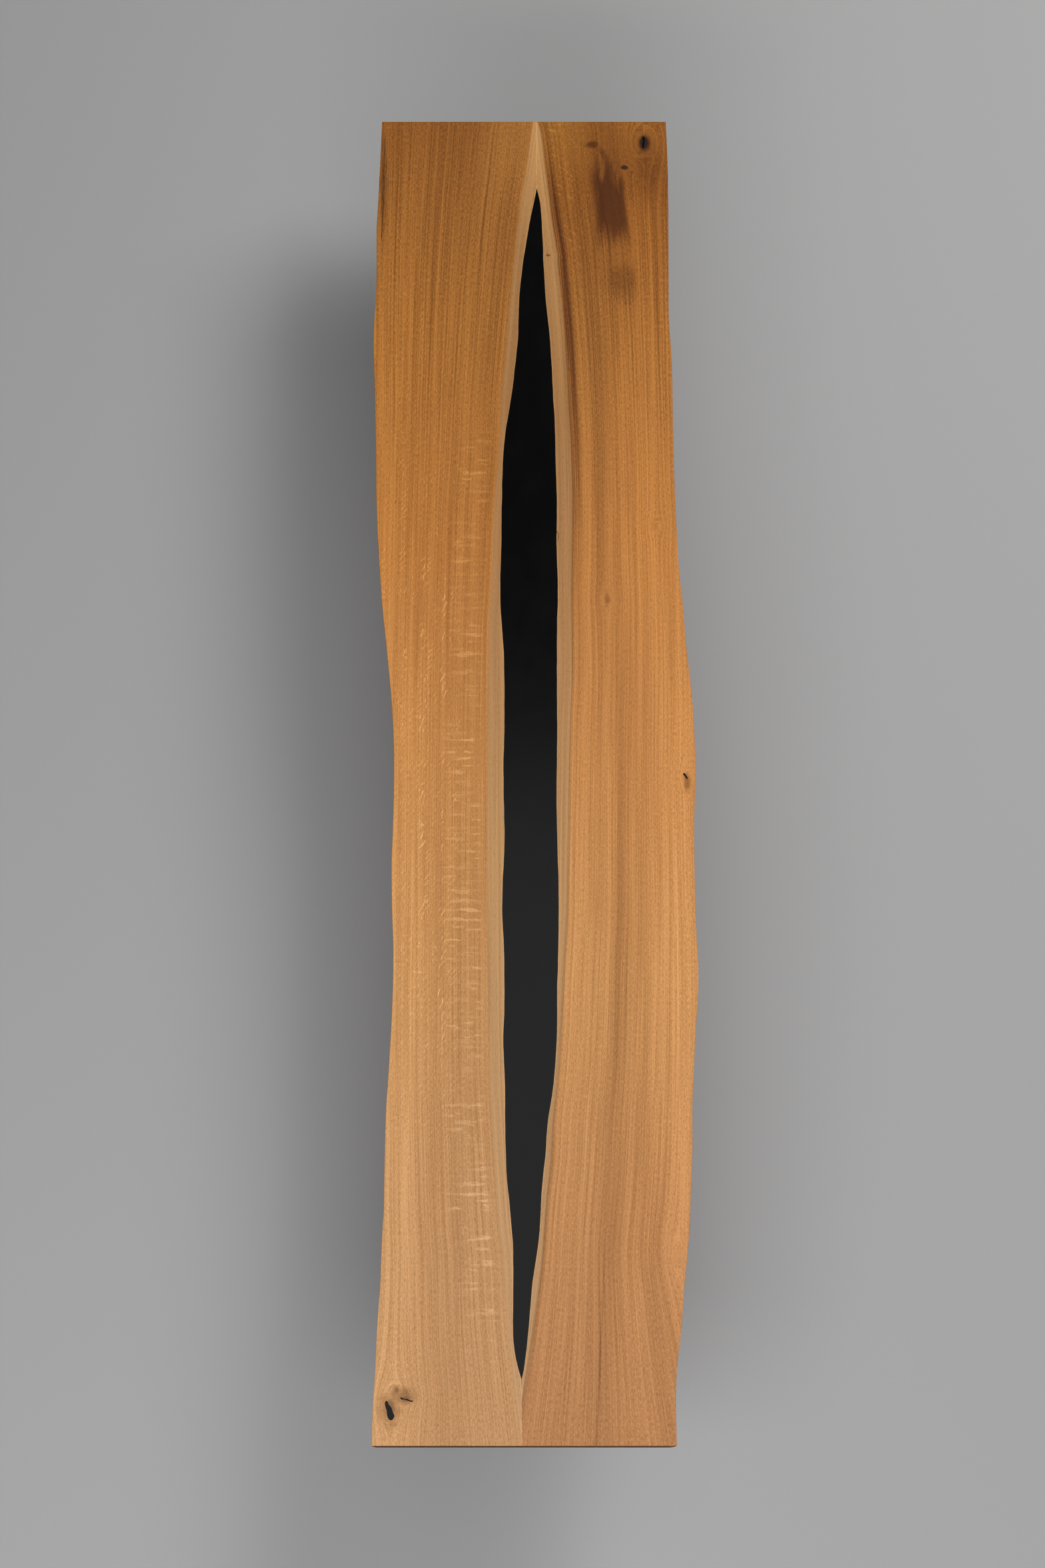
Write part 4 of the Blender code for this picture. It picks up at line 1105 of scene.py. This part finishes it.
GLIDE_SIDES = 48
glide_nodes = nodes_named("glide")
glide_low, glide_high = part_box(glide_nodes[0])
glide_radius, glide_height = (glide_high.x - glide_low.x) / 2, glide_high.z - glide_low.z
glide_profile = [(glide_radius - 0.0012, glide_height), (glide_radius - 0.0004, glide_height - 0.0003),
                 (glide_radius, glide_height - 0.0012), (glide_radius, 0.0025), (glide_radius - 0.0006, 0.0011),
                 (glide_radius - 0.0025, 0.0), (0.0075, 0.0), (0.0068, 0.0008), (0.0045, 0.0030)]
unit_glide = closed_tube("unit_glide", turned_rings(glide_profile, GLIDE_SIDES), GLIDE_SIDES, in_scene=False)
glide_places = [(*middle_of(node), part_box(node)[0].z) for node in glide_nodes]
glides = grown("floor_glides", spots("glide_places", glide_places), head_tree, {
    "Head": unit_glide, "Width": 1.0, "Height": 1.0, "Seed": 7, "Finish": nylon.material})
bpy.data.objects.remove(unit_glide)
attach(glides, "root")
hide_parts(*glide_nodes)

# ================ The studio
# A plain pale floor, a broad soft light off the table's far right, a high light over its near end and a
# little light from all round. The camera looks steeply down from above the near end.

FLOOR_SIZE = 240.0
bpy.ops.mesh.primitive_grid_add(x_subdivisions=2, y_subdivisions=2, size=FLOOR_SIZE)
floor = bpy.context.object
floor.name = "floor"
Finish("pale_floor", 0.85, Specular_IOR_Level=0.2, Base_Color=(0.36, 0.36, 0.365, 1.0)).cover(floor)


def aimed(name, data, place, aim):
    holder = put_in_scene(name, data)
    holder.location = place
    holder.rotation_euler = (Vector(aim) - Vector(place)).to_track_quat("-Z", "Y").to_euler()
    return holder


def soft_light(name, place, aim, width, length, watts, colour=(1.0, 1.0, 1.0)):
    lamp = bpy.data.lights.new(name, "AREA")
    lamp.shape = "RECTANGLE"
    lamp.size, lamp.size_y = width, length
    lamp.energy = watts
    lamp.color = colour
    aimed(name, lamp, place, aim)


soft_light("key", (4.4, 4.7, 8.0), (0.0, 1.4, 0.4), 4.6, 4.6, 640.0, (1.0, 0.985, 0.96))
soft_light("near_end", (-1.2, -5.6, 6.8), (-0.4, -2.4, 0.4), 8.0, 4.0, 430.0)
soft_light("overhead", (0.0, -3.5, 20.0), (0.0, -3.5, 0.0), 9.0, 17.0, 360.0)

world = bpy.data.worlds.new("studio")
bpy.context.scene.world = world
world.use_nodes = True
backdrop = world.node_tree.nodes["Background"]
backdrop.inputs["Color"].default_value = (0.95, 0.97, 1.0, 1.0)
air = Shade(world.node_tree)
height = air.axes(air.node("ShaderNodeTexCoord"))[2]
strength = 0.045 + height.rise(0.80, 0.10) * 0.5
world.node_tree.links.new(strength.socket, backdrop.inputs["Strength"])

CAMERA_PLACE = (-0.0355, -3.9145, 15.702)
CAMERA_AIM = (-0.0355, -0.082, 0.75)
lens = bpy.data.cameras.new("camera")
lens.lens = 107.8
lens.sensor_width = 36.0
lens.clip_end = 400.0
bpy.context.scene.camera = aimed("camera", lens, CAMERA_PLACE, CAMERA_AIM)
bpy.context.scene.view_settings.view_transform = "Standard"
